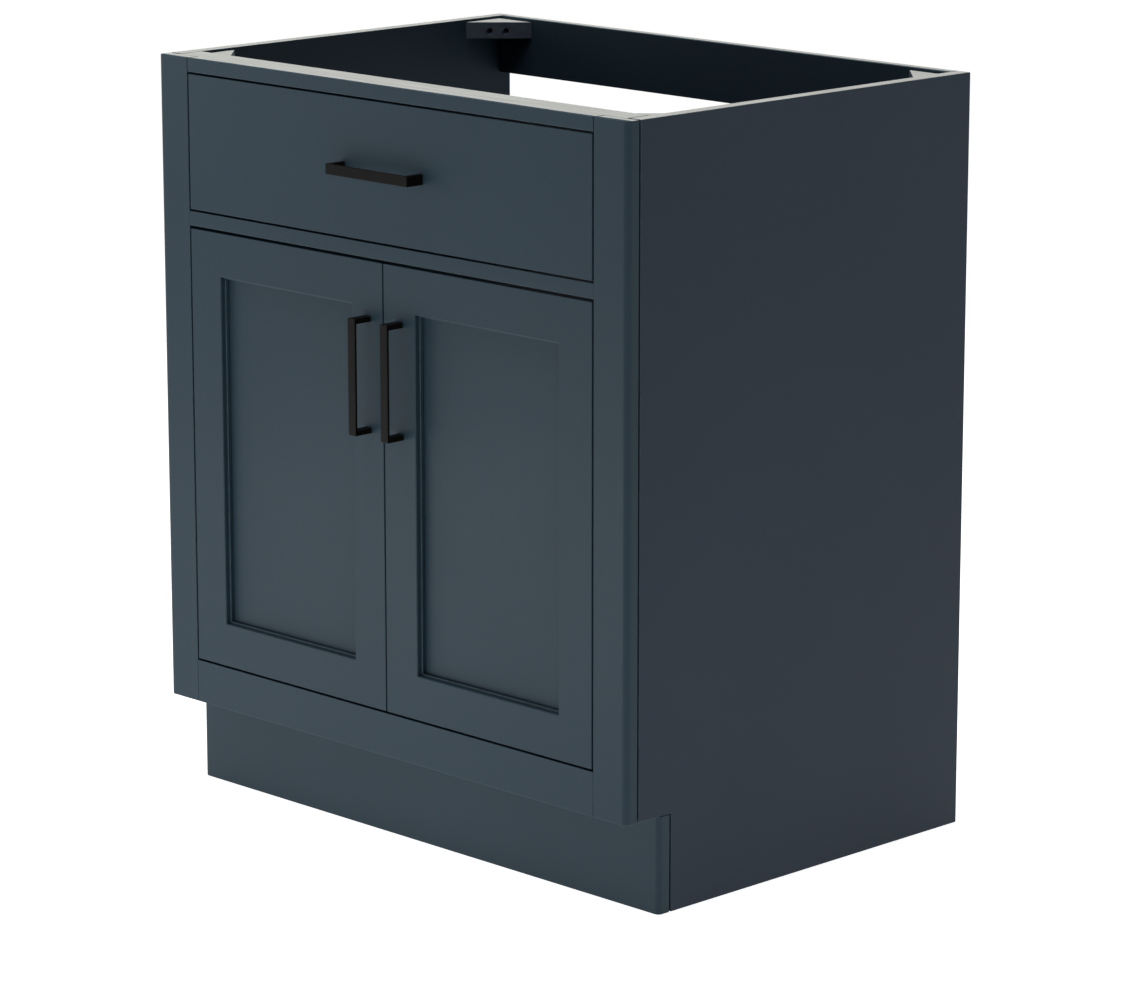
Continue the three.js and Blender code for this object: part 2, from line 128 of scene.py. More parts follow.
# ---- finishes -------------------------------------------------------------------------------
def scaled(colour: Colour, factor: float) -> tuple[float, float, float, float]:
    """Returns a colour made lighter or darker by a factor, with full alpha."""
    red, green, blue = colour
    return (red * factor, green * factor, blue * factor, 1.0)


class ShaderSheet:
    """One material's node tree, with short calls for the nodes that the finishes share."""

    def __init__(self, name: str) -> None:
        """Starts an empty node tree with a Principled shader on its output.

        Args:
            name: The material's name.
        """
        self.material = bpy.data.materials.new(name)
        self.material.use_nodes = True
        self.tree = self.material.node_tree
        self.tree.nodes.clear()
        self.shader = self.tree.nodes.new("ShaderNodeBsdfPrincipled")
        output = self.tree.nodes.new("ShaderNodeOutputMaterial")
        self.tree.links.new(self.shader.outputs["BSDF"], output.inputs["Surface"])
        self.place = self.tree.nodes.new("ShaderNodeTexCoord").outputs["Object"]

    def set(self, **sockets: float) -> None:
        """Sets constants on the Principled shader; an underscore stands for a space."""
        for name, value in sockets.items():
            self.shader.inputs[name.replace("_", " ")].default_value = value

    def drive(self, socket: str, source: bpy.types.NodeSocket) -> None:
        """Links a node's output to one of the Principled shader's sockets."""
        self.tree.links.new(source, self.shader.inputs[socket])

    def coordinate(self, axis: str) -> bpy.types.NodeSocket:
        """Returns one of the Object coordinates, named X, Y or Z."""
        split = self.tree.nodes.new("ShaderNodeSeparateXYZ")
        self.tree.links.new(self.place, split.inputs["Vector"])
        return split.outputs[axis]

    def stretched(self, stretch: tuple[float, float, float]) -> bpy.types.NodeSocket:
        """Returns the Object coordinates scaled by a different factor along each axis."""
        mapping = self.tree.nodes.new("ShaderNodeMapping")
        mapping.inputs["Scale"].default_value = stretch
        self.tree.links.new(self.place, mapping.inputs["Vector"])
        return mapping.outputs["Vector"]

    def noise(
        self, scale: float, detail: float, place: bpy.types.NodeSocket | None = None
    ) -> bpy.types.NodeSocket:
        """Adds a noise texture.

        Args:
            scale: Pattern cycles per metre.
            detail: Number of finer layers.
            place: The coordinates to read, or None for plain Object coordinates.

        Returns:
            The noise's value output.
        """
        node = self.tree.nodes.new("ShaderNodeTexNoise")
        node.inputs["Scale"].default_value = scale
        node.inputs["Detail"].default_value = detail
        self.tree.links.new(place or self.place, node.inputs["Vector"])
        return node.outputs["Fac"]

    def ramp(
        self, source: bpy.types.NodeSocket, low: float, high: float, out: Point2 = (0.0, 1.0)
    ) -> bpy.types.NodeSocket:
        """Maps one range onto another, held at both ends.

        Args:
            source: The value to map.
            low: Where the source range starts.
            high: Where it ends.
            out: The values given at low and at high.

        Returns:
            The mapped value's output.
        """
        node = self.tree.nodes.new("ShaderNodeMapRange")
        node.inputs["From Min"].default_value = low
        node.inputs["From Max"].default_value = high
        node.inputs["To Min"].default_value, node.inputs["To Max"].default_value = out
        self.tree.links.new(source, node.inputs["Value"])
        return node.outputs["Result"]

    def blend(
        self,
        factor: bpy.types.NodeSocket,
        first: bpy.types.NodeSocket | tuple[float, ...],
        second: bpy.types.NodeSocket | tuple[float, ...],
    ) -> bpy.types.NodeSocket:
        """Mixes two colours, each given as a colour or as a node's output.

        Args:
            factor: Share of the second colour.
            first: The first colour.
            second: The second colour.

        Returns:
            The mixed colour's output.
        """
        node = self.tree.nodes.new("ShaderNodeMix")
        node.data_type = "RGBA"
        self.tree.links.new(factor, node.inputs["Factor"])
        for socket, value in ((node.inputs[6], first), (node.inputs[7], second)):
            if isinstance(value, bpy.types.NodeSocket):
                self.tree.links.new(value, socket)
            else:
                socket.default_value = value
        return node.outputs[2]

    def combine(
        self, operation: str, first: bpy.types.NodeSocket, second: bpy.types.NodeSocket | float
    ) -> bpy.types.NodeSocket:
        """Joins two values by a Math operation.

        Args:
            operation: The operation, such as ADD or MULTIPLY.
            first: The first value.
            second: The second value, as an output or a number.

        Returns:
            The result's output.
        """
        node = self.tree.nodes.new("ShaderNodeMath")
        node.operation = operation
        self.tree.links.new(first, node.inputs[0])
        if isinstance(second, bpy.types.NodeSocket):
            self.tree.links.new(second, node.inputs[1])
        else:
            node.inputs[1].default_value = second
        return node.outputs[0]

    def edges(self) -> bpy.types.NodeSocket:
        """Returns the value that is 1 along a piece's eased edges and 0 on its faces."""
        node = self.tree.nodes.new("ShaderNodeAttribute")
        node.attribute_name = "edge"
        return node.outputs["Fac"]

    def relief(self, height: bpy.types.NodeSocket, strength: float, depth: float) -> None:
        """Raises the surface by a height pattern.

        Args:
            height: The pattern, from 0 to 1.
            strength: How much of the relief shows.
            depth: Height of the pattern in metres.
        """
        bump = self.tree.nodes.new("ShaderNodeBump")
        bump.inputs["Strength"].default_value = strength
        bump.inputs["Distance"].default_value = depth
        self.tree.links.new(height, bump.inputs["Height"])
        self.drive("Normal", bump.outputs["Normal"])


@dataclass(frozen=True)
class SatinPaint:
    """Sprayed satin paint over wood: a soft cloudiness, fine orange peel, faint grain and eased
    edges lightened partly as thin paint and partly as a painted highlight.
    """

    name: str
    colour: Colour
    edge_colour: Colour
    grain: Grain
    roughness: Point2 = (0.40, 0.47)
    gloss: float = 0.14

    def material(self) -> bpy.types.Material:
        """Builds the paint and returns its material."""
        sheet = ShaderSheet(self.name)
        cloud = sheet.ramp(sheet.noise(2.3, 3.0), 0.32, 0.68)
        mottle = sheet.noise(85.0, 5.0)
        streaks = sheet.noise(95.0, 4.0, sheet.stretched(self.grain.value))
        body = sheet.blend(cloud, scaled(self.colour, 0.93), scaled(self.colour, 1.07))
        flecks = sheet.combine("MULTIPLY", sheet.ramp(mottle, 0.45, 0.75), 0.22)
        body = sheet.blend(flecks, body, scaled(self.colour, 1.2))
        # Eased edges take a lighter navy: partly thin paint at the edge, partly a painted highlight
        # where the edges catch the light.
        thin = sheet.combine("MULTIPLY", sheet.edges(), sheet.ramp(mottle, 0.4, 0.62, (0.3, 0.8)))
        sheet.drive("Base Color", sheet.blend(thin, body, scaled(self.edge_colour, 1.0)))
        sheet.drive("Roughness", sheet.ramp(mottle, 0.3, 0.7, self.roughness))
        peel = sheet.noise(620.0, 2.0)
        height = sheet.combine("ADD", sheet.combine("MULTIPLY", peel, 0.55), streaks)
        sheet.relief(height, 0.07, 0.2 * MM)
        sheet.set(Specular_IOR_Level=self.gloss)
        return sheet.material


@dataclass(frozen=True)
class RawEdge:
    """An unpainted face: sanded fibre with fine streaks, paint specks and a lap of paint."""

    name: str
    colour: Colour
    paint: Colour
    grain: Grain
    lap: Point2 = (-1.0, -0.9)

    def material(self) -> bpy.types.Material:
        """Builds the raw edge and returns its material."""
        sheet = ShaderSheet(self.name)
        streaks = sheet.noise(160.0, 6.0, sheet.stretched(self.grain.value))
        cloud = sheet.noise(9.0, 4.0)
        fibres = sheet.noise(900.0, 3.0)
        wood = sheet.blend(
            sheet.ramp(streaks, 0.3, 0.7), scaled(self.colour, 0.82), scaled(self.colour, 1.08)
        )
        stain = sheet.ramp(cloud, 0.35, 0.7, (0.0, 0.35))
        wood = sheet.blend(stain, wood, scaled(self.colour, 0.9))
        wander = sheet.combine("MULTIPLY", cloud, 5 * MM)
        place = sheet.combine("ADD", sheet.coordinate("Y"), wander)
        lap = sheet.ramp(place, *self.lap, (1.0, 0.0))
        overspray = sheet.ramp(sheet.noise(240.0, 6.0), 0.70, 0.80, (0.0, 0.45))
        smear = sheet.combine("MULTIPLY", sheet.edges(), 0.85)
        wood = sheet.blend(overspray, wood, scaled(self.paint, 2.2))
        wood = sheet.blend(lap, wood, scaled(self.paint, 1.6))
        sheet.drive("Base Color", sheet.blend(smear, wood, scaled(self.paint, 1.3)))
        sheet.drive("Roughness", sheet.ramp(fibres, 0.3, 0.7, (0.62, 0.82)))
        sheet.relief(sheet.combine("ADD", streaks, fibres), 0.22, 0.2 * MM)
        sheet.set(Specular_IOR_Level=0.3)
        return sheet.material


@dataclass(frozen=True)
class CoatedBronze:
    """Near-black bronze coating on cast metal, rubbed a little lighter along its edges."""

    name: str
    colour: Colour
    rubbed: Colour

    def material(self) -> bpy.types.Material:
        """Builds the coating and returns its material."""
        sheet = ShaderSheet(self.name)
        grit = sheet.noise(1500.0, 3.0)
        cloud = sheet.noise(45.0, 4.0)
        body = sheet.blend(
            sheet.ramp(cloud, 0.35, 0.65), scaled(self.colour, 0.8), scaled(self.colour, 1.2)
        )
        worn = sheet.combine("MULTIPLY", sheet.edges(), sheet.ramp(cloud, 0.4, 0.6, (0.25, 0.7)))
        sheet.drive("Base Color", sheet.blend(worn, body, scaled(self.rubbed, 1.0)))
        sheet.drive("Roughness", sheet.ramp(grit, 0.3, 0.7, (0.34, 0.5)))
        sheet.relief(grit, 0.15, 0.06 * MM)
        sheet.set(Specular_IOR_Level=0.07)
        return sheet.material


@dataclass(frozen=True)
class PlatedSteel:
    """Plated pressed steel: a bright base with cloudy plating and fine handling scratches."""

    name: str
    colour: Colour
    tint: Colour
    roughness: Point2

    def material(self) -> bpy.types.Material:
        """Builds the plating and returns its material."""
        sheet = ShaderSheet(self.name)
        cloud = sheet.noise(120.0, 5.0)
        scratches = sheet.noise(900.0, 4.0, sheet.stretched((1.0, 0.15, 1.0)))
        plating = sheet.blend(
            sheet.ramp(cloud, 0.3, 0.7), scaled(self.colour, 0.9), scaled(self.tint, 1.0)
        )
        polished = sheet.combine("MULTIPLY", sheet.edges(), 0.5)
        sheet.drive("Base Color", sheet.blend(polished, plating, scaled(self.colour, 1.15)))
        sheet.drive("Roughness", sheet.ramp(scratches, 0.3, 0.7, self.roughness))
        sheet.relief(scratches, 0.02, 0.01 * MM)
        sheet.set(Metallic=1.0)
        return sheet.material


@dataclass(frozen=True)
class MouldedPlastic:
    """Off-white moulded plastic with a fine spark texture and slightly polished edges."""

    name: str
    colour: Colour

    def material(self) -> bpy.types.Material:
        """Builds the plastic and returns its material."""
        sheet = ShaderSheet(self.name)
        spark = sheet.noise(1300.0, 3.0)
        cloud = sheet.noise(14.0, 3.0)
        body = sheet.blend(
            sheet.ramp(cloud, 0.3, 0.7), scaled(self.colour, 0.96), scaled(self.colour, 1.03)
        )
        handled = sheet.combine("MULTIPLY", sheet.edges(), 0.4)
        sheet.drive("Base Color", sheet.blend(handled, body, scaled(self.colour, 1.08)))
        sheet.drive("Roughness", sheet.ramp(spark, 0.3, 0.7, (0.4, 0.55)))
        sheet.relief(spark, 0.2, 0.05 * MM)
        sheet.set(Subsurface_Weight=0.08, Subsurface_Scale=0.004)
        return sheet.material


NAVY: Colour = (0.0205, 0.040, 0.056)
# Darker, greyer navy for the side panels' outer faces: painted shade of the side turned away from
# the light.
NAVY_SHADED_SIDE: Colour = (0.0190, 0.0312, 0.0490)
# Lighter navy for eased edges: partly thin paint, partly a painted highlight.
NAVY_WORN_EDGE_AND_HIGHLIGHT: Colour = (0.074, 0.111, 0.137)
DEEP_NAVY: Colour = (0.014, 0.026, 0.038)
STAINED_GREY: Colour = (0.050, 0.062, 0.090)
PALE_FIBRE: Colour = (0.60, 0.61, 0.575)


class Finishes:
    """All finishes of the cabinet, built once and shared by the pieces."""

    def __init__(self) -> None:
        """Builds each finish's material."""
        self.outside = {g: self.paint("navy_satin_paint", NAVY, g) for g in Grain}
        # The side panels' outer faces get a darker copy of the navy paint, as painted shade.
        self.panel = self.paint("navy_panel_paint", NAVY_SHADED_SIDE, Grain.ALONG_Y)
        # The inside paint's eased edges are lightened towards the outside navy, partly as thin
        # paint and partly as a painted highlight.
        self.inside = {
            g: SatinPaint(
                f"deep_navy_inside_paint_{g.name.lower()}", DEEP_NAVY, NAVY, g, (0.5, 0.62), 0.08
            ).material()
            for g in Grain
        }
        front = Vector(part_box("left_face_stile")[0]).y
        lap = (front + 7.5 * MM, front + 9 * MM)
        self.raw = {
            g: RawEdge(f"pale_raw_edge_{g.name.lower()}", PALE_FIBRE, NAVY, g, lap).material()
            for g in Grain
        }
        bronze = CoatedBronze(
            "black_bronze_coating", (0.0040, 0.0035, 0.0031), (0.014, 0.012, 0.010)
        )
        nickel = PlatedSteel(
            "bright_nickel_plate", (0.60, 0.60, 0.58), (0.66, 0.65, 0.61), (0.29, 0.34)
        )
        zinc = PlatedSteel("zinc_plate", (0.50, 0.51, 0.52), (0.58, 0.56, 0.48), (0.36, 0.42))
        rail_y = Vector(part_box("back_rail")[0]).y
        back_lap = (rail_y + 7 * MM, rail_y + 10 * MM)
        lapped = RawEdge("lapped_back_edge", PALE_FIBRE, NAVY, Grain.ALONG_X, back_lap)
        stained = RawEdge("grey_stained_wood", STAINED_GREY, STAINED_GREY, Grain.ALONG_X)
        self.lapped = lapped.material()
        self.stained = stained.material()
        self.bronze = bronze.material()
        self.nickel = nickel.material()
        self.zinc = zinc.material()
        self.plastic = MouldedPlastic("off_white_plastic", (0.72, 0.71, 0.67)).material()

    @staticmethod
    def paint(name: str, colour: Colour, grain: Grain) -> bpy.types.Material:
        """Builds one paint for boards of one grain direction."""
        return SatinPaint(f"{name}_{grain.name.lower()}", colour, NAVY_WORN_EDGE_AND_HIGHLIGHT, grain).material()

    def board(self, grain: Grain) -> list[bpy.types.Material]:
        """Returns a board's three materials in the order of Surface."""
        return [self.outside[grain], self.raw[grain], self.inside[grain]]


# ---- mesh making ----------------------------------------------------------------------------
@dataclass(frozen=True)
class Limits:
    """The lowest and highest corners of a box."""

    low: Vector
    high: Vector

    @classmethod
    def of(cls, node: str) -> Limits:
        """Returns the limits of one of the frame's nodes."""
        low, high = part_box(node)
        return cls(Vector(low), Vector(high))

    def corners(self, axis: Axis) -> list[Point2]:
        """Returns the box's outline seen along an axis."""
        first, second = {Axis.X: (1, 2), Axis.Y: (0, 2), Axis.Z: (0, 1)}[axis]
        a0, a1 = self.low[first], self.high[first]
        b0, b1 = self.low[second], self.high[second]
        return [(a0, b0), (a1, b0), (a1, b1), (a0, b1)]

    def widened(self, x: float = 0.0, y: float = 0.0, z: float = 0.0) -> Limits:
        """Returns the box grown by a distance on both sides along each axis."""
        grow = Vector((x, y, z))
        return Limits(self.low - grow, self.high + grow)

    def middle(self, axis: str) -> float:
        """Returns the box's middle along an axis, named x, y or z."""
        return (getattr(self.low, axis) + getattr(self.high, axis)) / 2

    def outer_x(self, side: Side) -> float:
        """Returns the X of the face towards the cabinet's outside."""
        return side.pick(self.low.x, self.high.x)

    def inner_x(self, side: Side) -> float:
        """Returns the X of the face towards the cabinet's middle."""
        return side.pick(self.high.x, self.low.x)

    def outer_wall(self, side: Side, thickness: float) -> tuple[float, float]:
        """Returns the lowest and highest X of a wall along the outer face."""
        start = self.outer_x(side)
        low, high = sorted((start, start - side.value * thickness))
        return (low, high)


FACE_Y = Limits.of("left_face_stile").low.y
RIM_Z = Limits.of("left_side_panel").high.z
SHARP_TURN = math.radians(28)
HARD_TURN = math.radians(50)


def depth(millimetres: float) -> float:
    """Returns the Y that lies this many millimetres behind the face frame's front."""
    return FACE_Y + millimetres * MM


def arc(centre: Point2, radius: float, start: float, end: float, steps: int) -> list[Point2]:
    """Returns points along an arc.

    Args:
        centre: The arc's centre.
        radius: Its radius.
        start: First angle in degrees.
        end: Last angle in degrees.
        steps: Number of straight steps.

    Returns:
        The points from start to end, both included.
    """
    turns = [math.radians(start + (end - start) * i / steps) for i in range(steps + 1)]
    return [(centre[0] + radius * math.cos(t), centre[1] + radius * math.sin(t)) for t in turns]


def rounded(points: Sequence[Point2], radius: float, steps: int = 4) -> list[Point2]:
    """Rounds every corner of an outline.

    Args:
        points: The outline's corners.
        radius: Distance from each corner at which its curve starts.
        steps: Straight steps in each curve.

    Returns:
        The outline with its corners curved.
    """
    result: list[Point2] = []
    count = len(points)
    for index, corner in enumerate(points):
        here = Vector(corner)
        ends = []
        for other in (points[index - 1], points[(index + 1) % count]):
            away = Vector(other) - here
            ends.append(here + away.normalized() * min(radius, away.length * 0.45))
        for step in range(steps + 1):
            t = step / steps
            spot = ends[0] * (1 - t) ** 2 + here * 2 * t * (1 - t) + ends[1] * t**2
            result.append((spot.x, spot.y))
    return result


def hull(points: Sequence[Point2]) -> list[Point2]:
    """Finds the convex outline round a set of points.

    Args:
        points: The points, in any order.

    Returns:
        The outline's corners, counter-clockwise.
    """
    ordered = sorted(set(points))

    def chain(row: Sequence[Point2]) -> list[Point2]:
        """Returns one side of the outline, without its last point."""
        side: list[Point2] = []
        for p in row:
            while len(side) > 1:
                (ax, ay), (bx, by) = side[-2], side[-1]
                if (bx - ax) * (p[1] - ay) - (by - ay) * (p[0] - ax) > 0:
                    break
                side.pop()
            side.append(p)
        return side[:-1]

    return chain(ordered) + chain(ordered[::-1])


def prism(points: Sequence[Point2], axis: Axis, low: float, high: float) -> bmesh.types.BMesh:
    """Raises an outline into a solid.

    Args:
        points: The outline's corners.
        axis: The axis it is raised along.
        low: Where the solid starts along the axis.
        high: Where it ends.

    Returns:
        A closed solid with its faces pointing out.
    """
    solid = bmesh.new()
    base = solid.faces.new([solid.verts.new(axis.place(a, b, low)) for a, b in points])
    raised = bmesh.ops.extrude_face_region(solid, geom=[base])["geom"]
    moving = [item for item in raised if isinstance(item, bmesh.types.BMVert)]
    bmesh.ops.translate(solid, verts=moving, vec=axis.place(0, 0, high - low))
    bmesh.ops.recalc_face_normals(solid, faces=solid.faces)
    return solid


def block(limits: Limits) -> bmesh.types.BMesh:
    """Makes a plain block that later gets its edges eased."""
    return prism(limits.corners(Axis.Z), Axis.Z, limits.low.z, limits.high.z)


def turned(profile: Sequence[Point2], centre: Vector, steps: int = 48) -> bmesh.types.BMesh:
    """Spins a profile about an axis along Y.

    Args:
        profile: Closed or axis-to-axis profile of (radius, y) points.
        centre: A point on the axis; its y is added to the profile's.
        steps: Number of steps round the axis.

    Returns:
        A closed solid.
    """
    solid = bmesh.new()
    spots = [solid.verts.new((centre.x + r, centre.y + y, centre.z)) for r, y in profile]
    edges = [solid.edges.new(pair) for pair in zip(spots, spots[1:])]
    bmesh.ops.spin(
        solid, geom=[*spots, *edges], cent=centre, axis=(0, 1, 0), angle=math.tau, steps=steps
    )
    bmesh.ops.remove_doubles(solid, verts=solid.verts, dist=0.01 * MM)
    bmesh.ops.recalc_face_normals(solid, faces=solid.faces)
    return solid


def rod(axis: Axis, radius: float, low: float, high: float, at: Point2) -> bmesh.types.BMesh:
    """Makes a round rod along an axis, centred on a point of the outline plane."""
    return prism(arc(at, radius, 0, 360 - 360 / 32, 31), axis, low, high)


def ease(
    solid: bmesh.types.BMesh,
    width: float,
    chosen: Callable[[bmesh.types.BMEdge], bool] = lambda edge: True,
    segments: int = 2,
    wear_and_highlight: float = 1.0,
) -> bmesh.types.BMesh:
    """Rounds a solid's sharp edges and marks them as eased.

    Args:
        solid: The solid to change.
        width: Width of the rounding.
        chosen: Says which of the sharp edges are rounded.
        segments: Number of faces across the rounding.
        wear_and_highlight: How strongly the rounding is marked, from 0 to 1, for worn edges and, on
            painted boards, for a painted highlight.

    Returns:
        The same solid.
    """
    layer = solid.verts.layers.float.get("edge") or solid.verts.layers.float.new("edge")
    sharp = [e for e in solid.edges if e.calc_face_angle(0.0) > SHARP_TURN and chosen(e)]
    made = bmesh.ops.bevel(
        solid, geom=sharp, offset=width, segments=segments, profile=0.5, affect="EDGES",
        clamp_overlap=True,
    )
    new_faces = set(made["faces"])
    for vert in made["verts"]:
        if vert.is_valid and all(face in new_faces for face in vert.link_faces):
            vert[layer] = wear_and_highlight
    return solid


def merged(*solids: bmesh.types.BMesh) -> bmesh.types.BMesh:
    """Joins several solids into one mesh.

    Args:
        solids: The solids, which are freed.

    Returns:
        One mesh that holds them all.
    """
    result = bmesh.new()
    for solid in solids:
        mesh = bpy.data.meshes.new("part")
        solid.to_mesh(mesh)
        result.from_mesh(mesh)
        bpy.data.meshes.remove(mesh)
        solid.free()
    return result


def plain_object(name: str, solid: bmesh.types.BMesh) -> bpy.types.Object:
    """Turns a mesh being built into a linked object.

    Args:
        name: The object's name.
        solid: Its mesh, which is freed.

    Returns:
        The new object.
    """
    mesh = bpy.data.meshes.new(name)
    solid.to_mesh(mesh)
    solid.free()
    piece = bpy.data.objects.new(name, mesh)
    bpy.context.scene.collection.objects.link(piece)
    return piece


def settled(piece: bpy.types.Object) -> bpy.types.Mesh:
    """Returns a new plain mesh holding the object with its modifiers applied."""
    graph = bpy.context.evaluated_depsgraph_get()
    return bpy.data.meshes.new_from_object(piece.evaluated_get(graph), depsgraph=graph)


def carved(solid: bmesh.types.BMesh, *cutters: bmesh.types.BMesh) -> bmesh.types.BMesh:
    """Cuts holes and recesses in a solid.

    Args:
        solid: The solid to cut; it is freed.
        cutters: Solids to take away; they are freed.

    Returns:
        The cut solid.
    """
    piece = plain_object("uncut", solid)
    tool = plain_object("cutter", merged(*cutters))
    cut = piece.modifiers.new("cut", "BOOLEAN")
    cut.operation, cut.solver, cut.object = "DIFFERENCE", "EXACT", tool
    mesh = settled(piece)
    result = bmesh.new()
    result.from_mesh(mesh)
    for spent in (piece, tool):
        bpy.data.objects.remove(spent)
    bpy.data.meshes.remove(mesh)
    return result


def sliced(solid: bmesh.types.BMesh, axis: Axis, low: float, high: float) -> bmesh.types.BMesh:
    """Returns the part of a solid between two planes, closed at the cuts.

    Args:
        solid: The whole solid, which is kept.
        axis: Normal of the two planes.
        low: The lower plane's place along the axis.
        high: The upper plane's place.

    Returns:
        A new solid.
    """
    part = solid.copy()
    normal = axis.place(0, 0, 1)
    for at, away in ((low, -normal), (high, normal)):
        geometry = [*part.verts, *part.edges, *part.faces]
        done = bmesh.ops.bisect_plane(
            part, geom=geometry, plane_co=normal * at, plane_no=away, clear_outer=True
        )
        rim = [item for item in done["geom_cut"] if isinstance(item, bmesh.types.BMEdge)]
        bmesh.ops.holes_fill(part, edges=rim)
    bmesh.ops.recalc_face_normals(part, faces=part.faces)
    return part


def along_rim(edge: bmesh.types.BMEdge, y: float) -> bool:
    """Says whether an edge runs along the cabinet's rim at a given Y."""
    return all(abs(v.co.y - y) < HAIR and v.co.z > RIM_Z - HAIR for v in edge.verts)


def rim_raw(solid: bmesh.types.BMesh, back_edge: bool = False) -> bmesh.types.BMesh:
    """Marks the faces on the cabinet's rim as unpainted.

    Args:
        solid: The solid to mark.
        back_edge: Whether its faces at the cabinet's back are unpainted too.

    Returns:
        The same solid.
    """
    back_y = Limits.of("back_rail").high.y
    for face in solid.faces:
        middle = face.calc_center_median()
        on_rim = face.normal.z > 0.98 and middle.z > RIM_Z - 0.05 * MM
        on_back = back_edge and face.normal.y > 0.98 and middle.y > back_y - 0.6 * MM
        if on_rim or on_back:
            face.material_index = Surface.RAW.value
    return solid


def make_piece(
    name: str, solid: bmesh.types.BMesh, materials: Sequence[bpy.types.Material]
) -> bpy.types.Object:
    """Finishes a solid as a smooth-shaded object with crisp faces.

    Args:
        name: The piece's name.
        solid: Its mesh, which is freed.
        materials: Its materials, in slot order.

    Returns:
        The new object.
    """
    solid.normal_update()
    for edge in solid.edges:
        edge.smooth = edge.calc_face_angle(0.0) < HARD_TURN
    for face in solid.faces:
        face.smooth = True
    piece = plain_object(name, solid)
    for material in materials:
        piece.data.materials.append(material)
    crisp = piece.modifiers.new("crisp_faces", "WEIGHTED_NORMAL")
    crisp.keep_sharp = True
    crisp.weight = 90
    return piece


def fit(piece: bpy.types.Object, body: str, slot: str, *nodes: str) -> bpy.types.Object:
    """Attaches a finished piece to its body and reports it.

    Args:
        piece: The finished piece.
        body: The body that it rides on.
        slot: Its material slot; not used.
        nodes: The frame's nodes that it stands for.

    Returns:
        The same piece.
    """
    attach(piece, body)
    if nodes:
        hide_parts(*nodes)
    LOG.info("%s rides on %s, %d faces", piece.name, body, len(piece.data.polygons))
    return piece


# ---- carcass --------------------------------------------------------------------------------
def pocket_lines(end: str, side: Side) -> list[tuple[Vector, Vector]]:
    """Places the two slanted screw pockets of a corner block.

    Args:
        end: "front" or "back".
        side: The side of the cabinet that the block is on.

    Returns:
        For each pocket, where it opens in the block's long face, and the way it is drilled.
    """
    box = Limits.of(f"{end}_{side.word}_corner_block")
    into = 1 if end == "front" else -1
    along = Vector((side.value, into, 0)).normalized()
    out = Vector((-side.value, into, 0)).normalized()
    middle = (box.low + box.high) / 2 - Vector((0, 0, POCKET_DROP)) + along * POCKET_SHIFT
    drill = (Vector((0, 0, POCKET_LEAN)) - out - along * POCKET_LEAN).normalized()
    return [(middle + along * way * POCKET_SPREAD * MM, drill) for way in (-1, 1)]


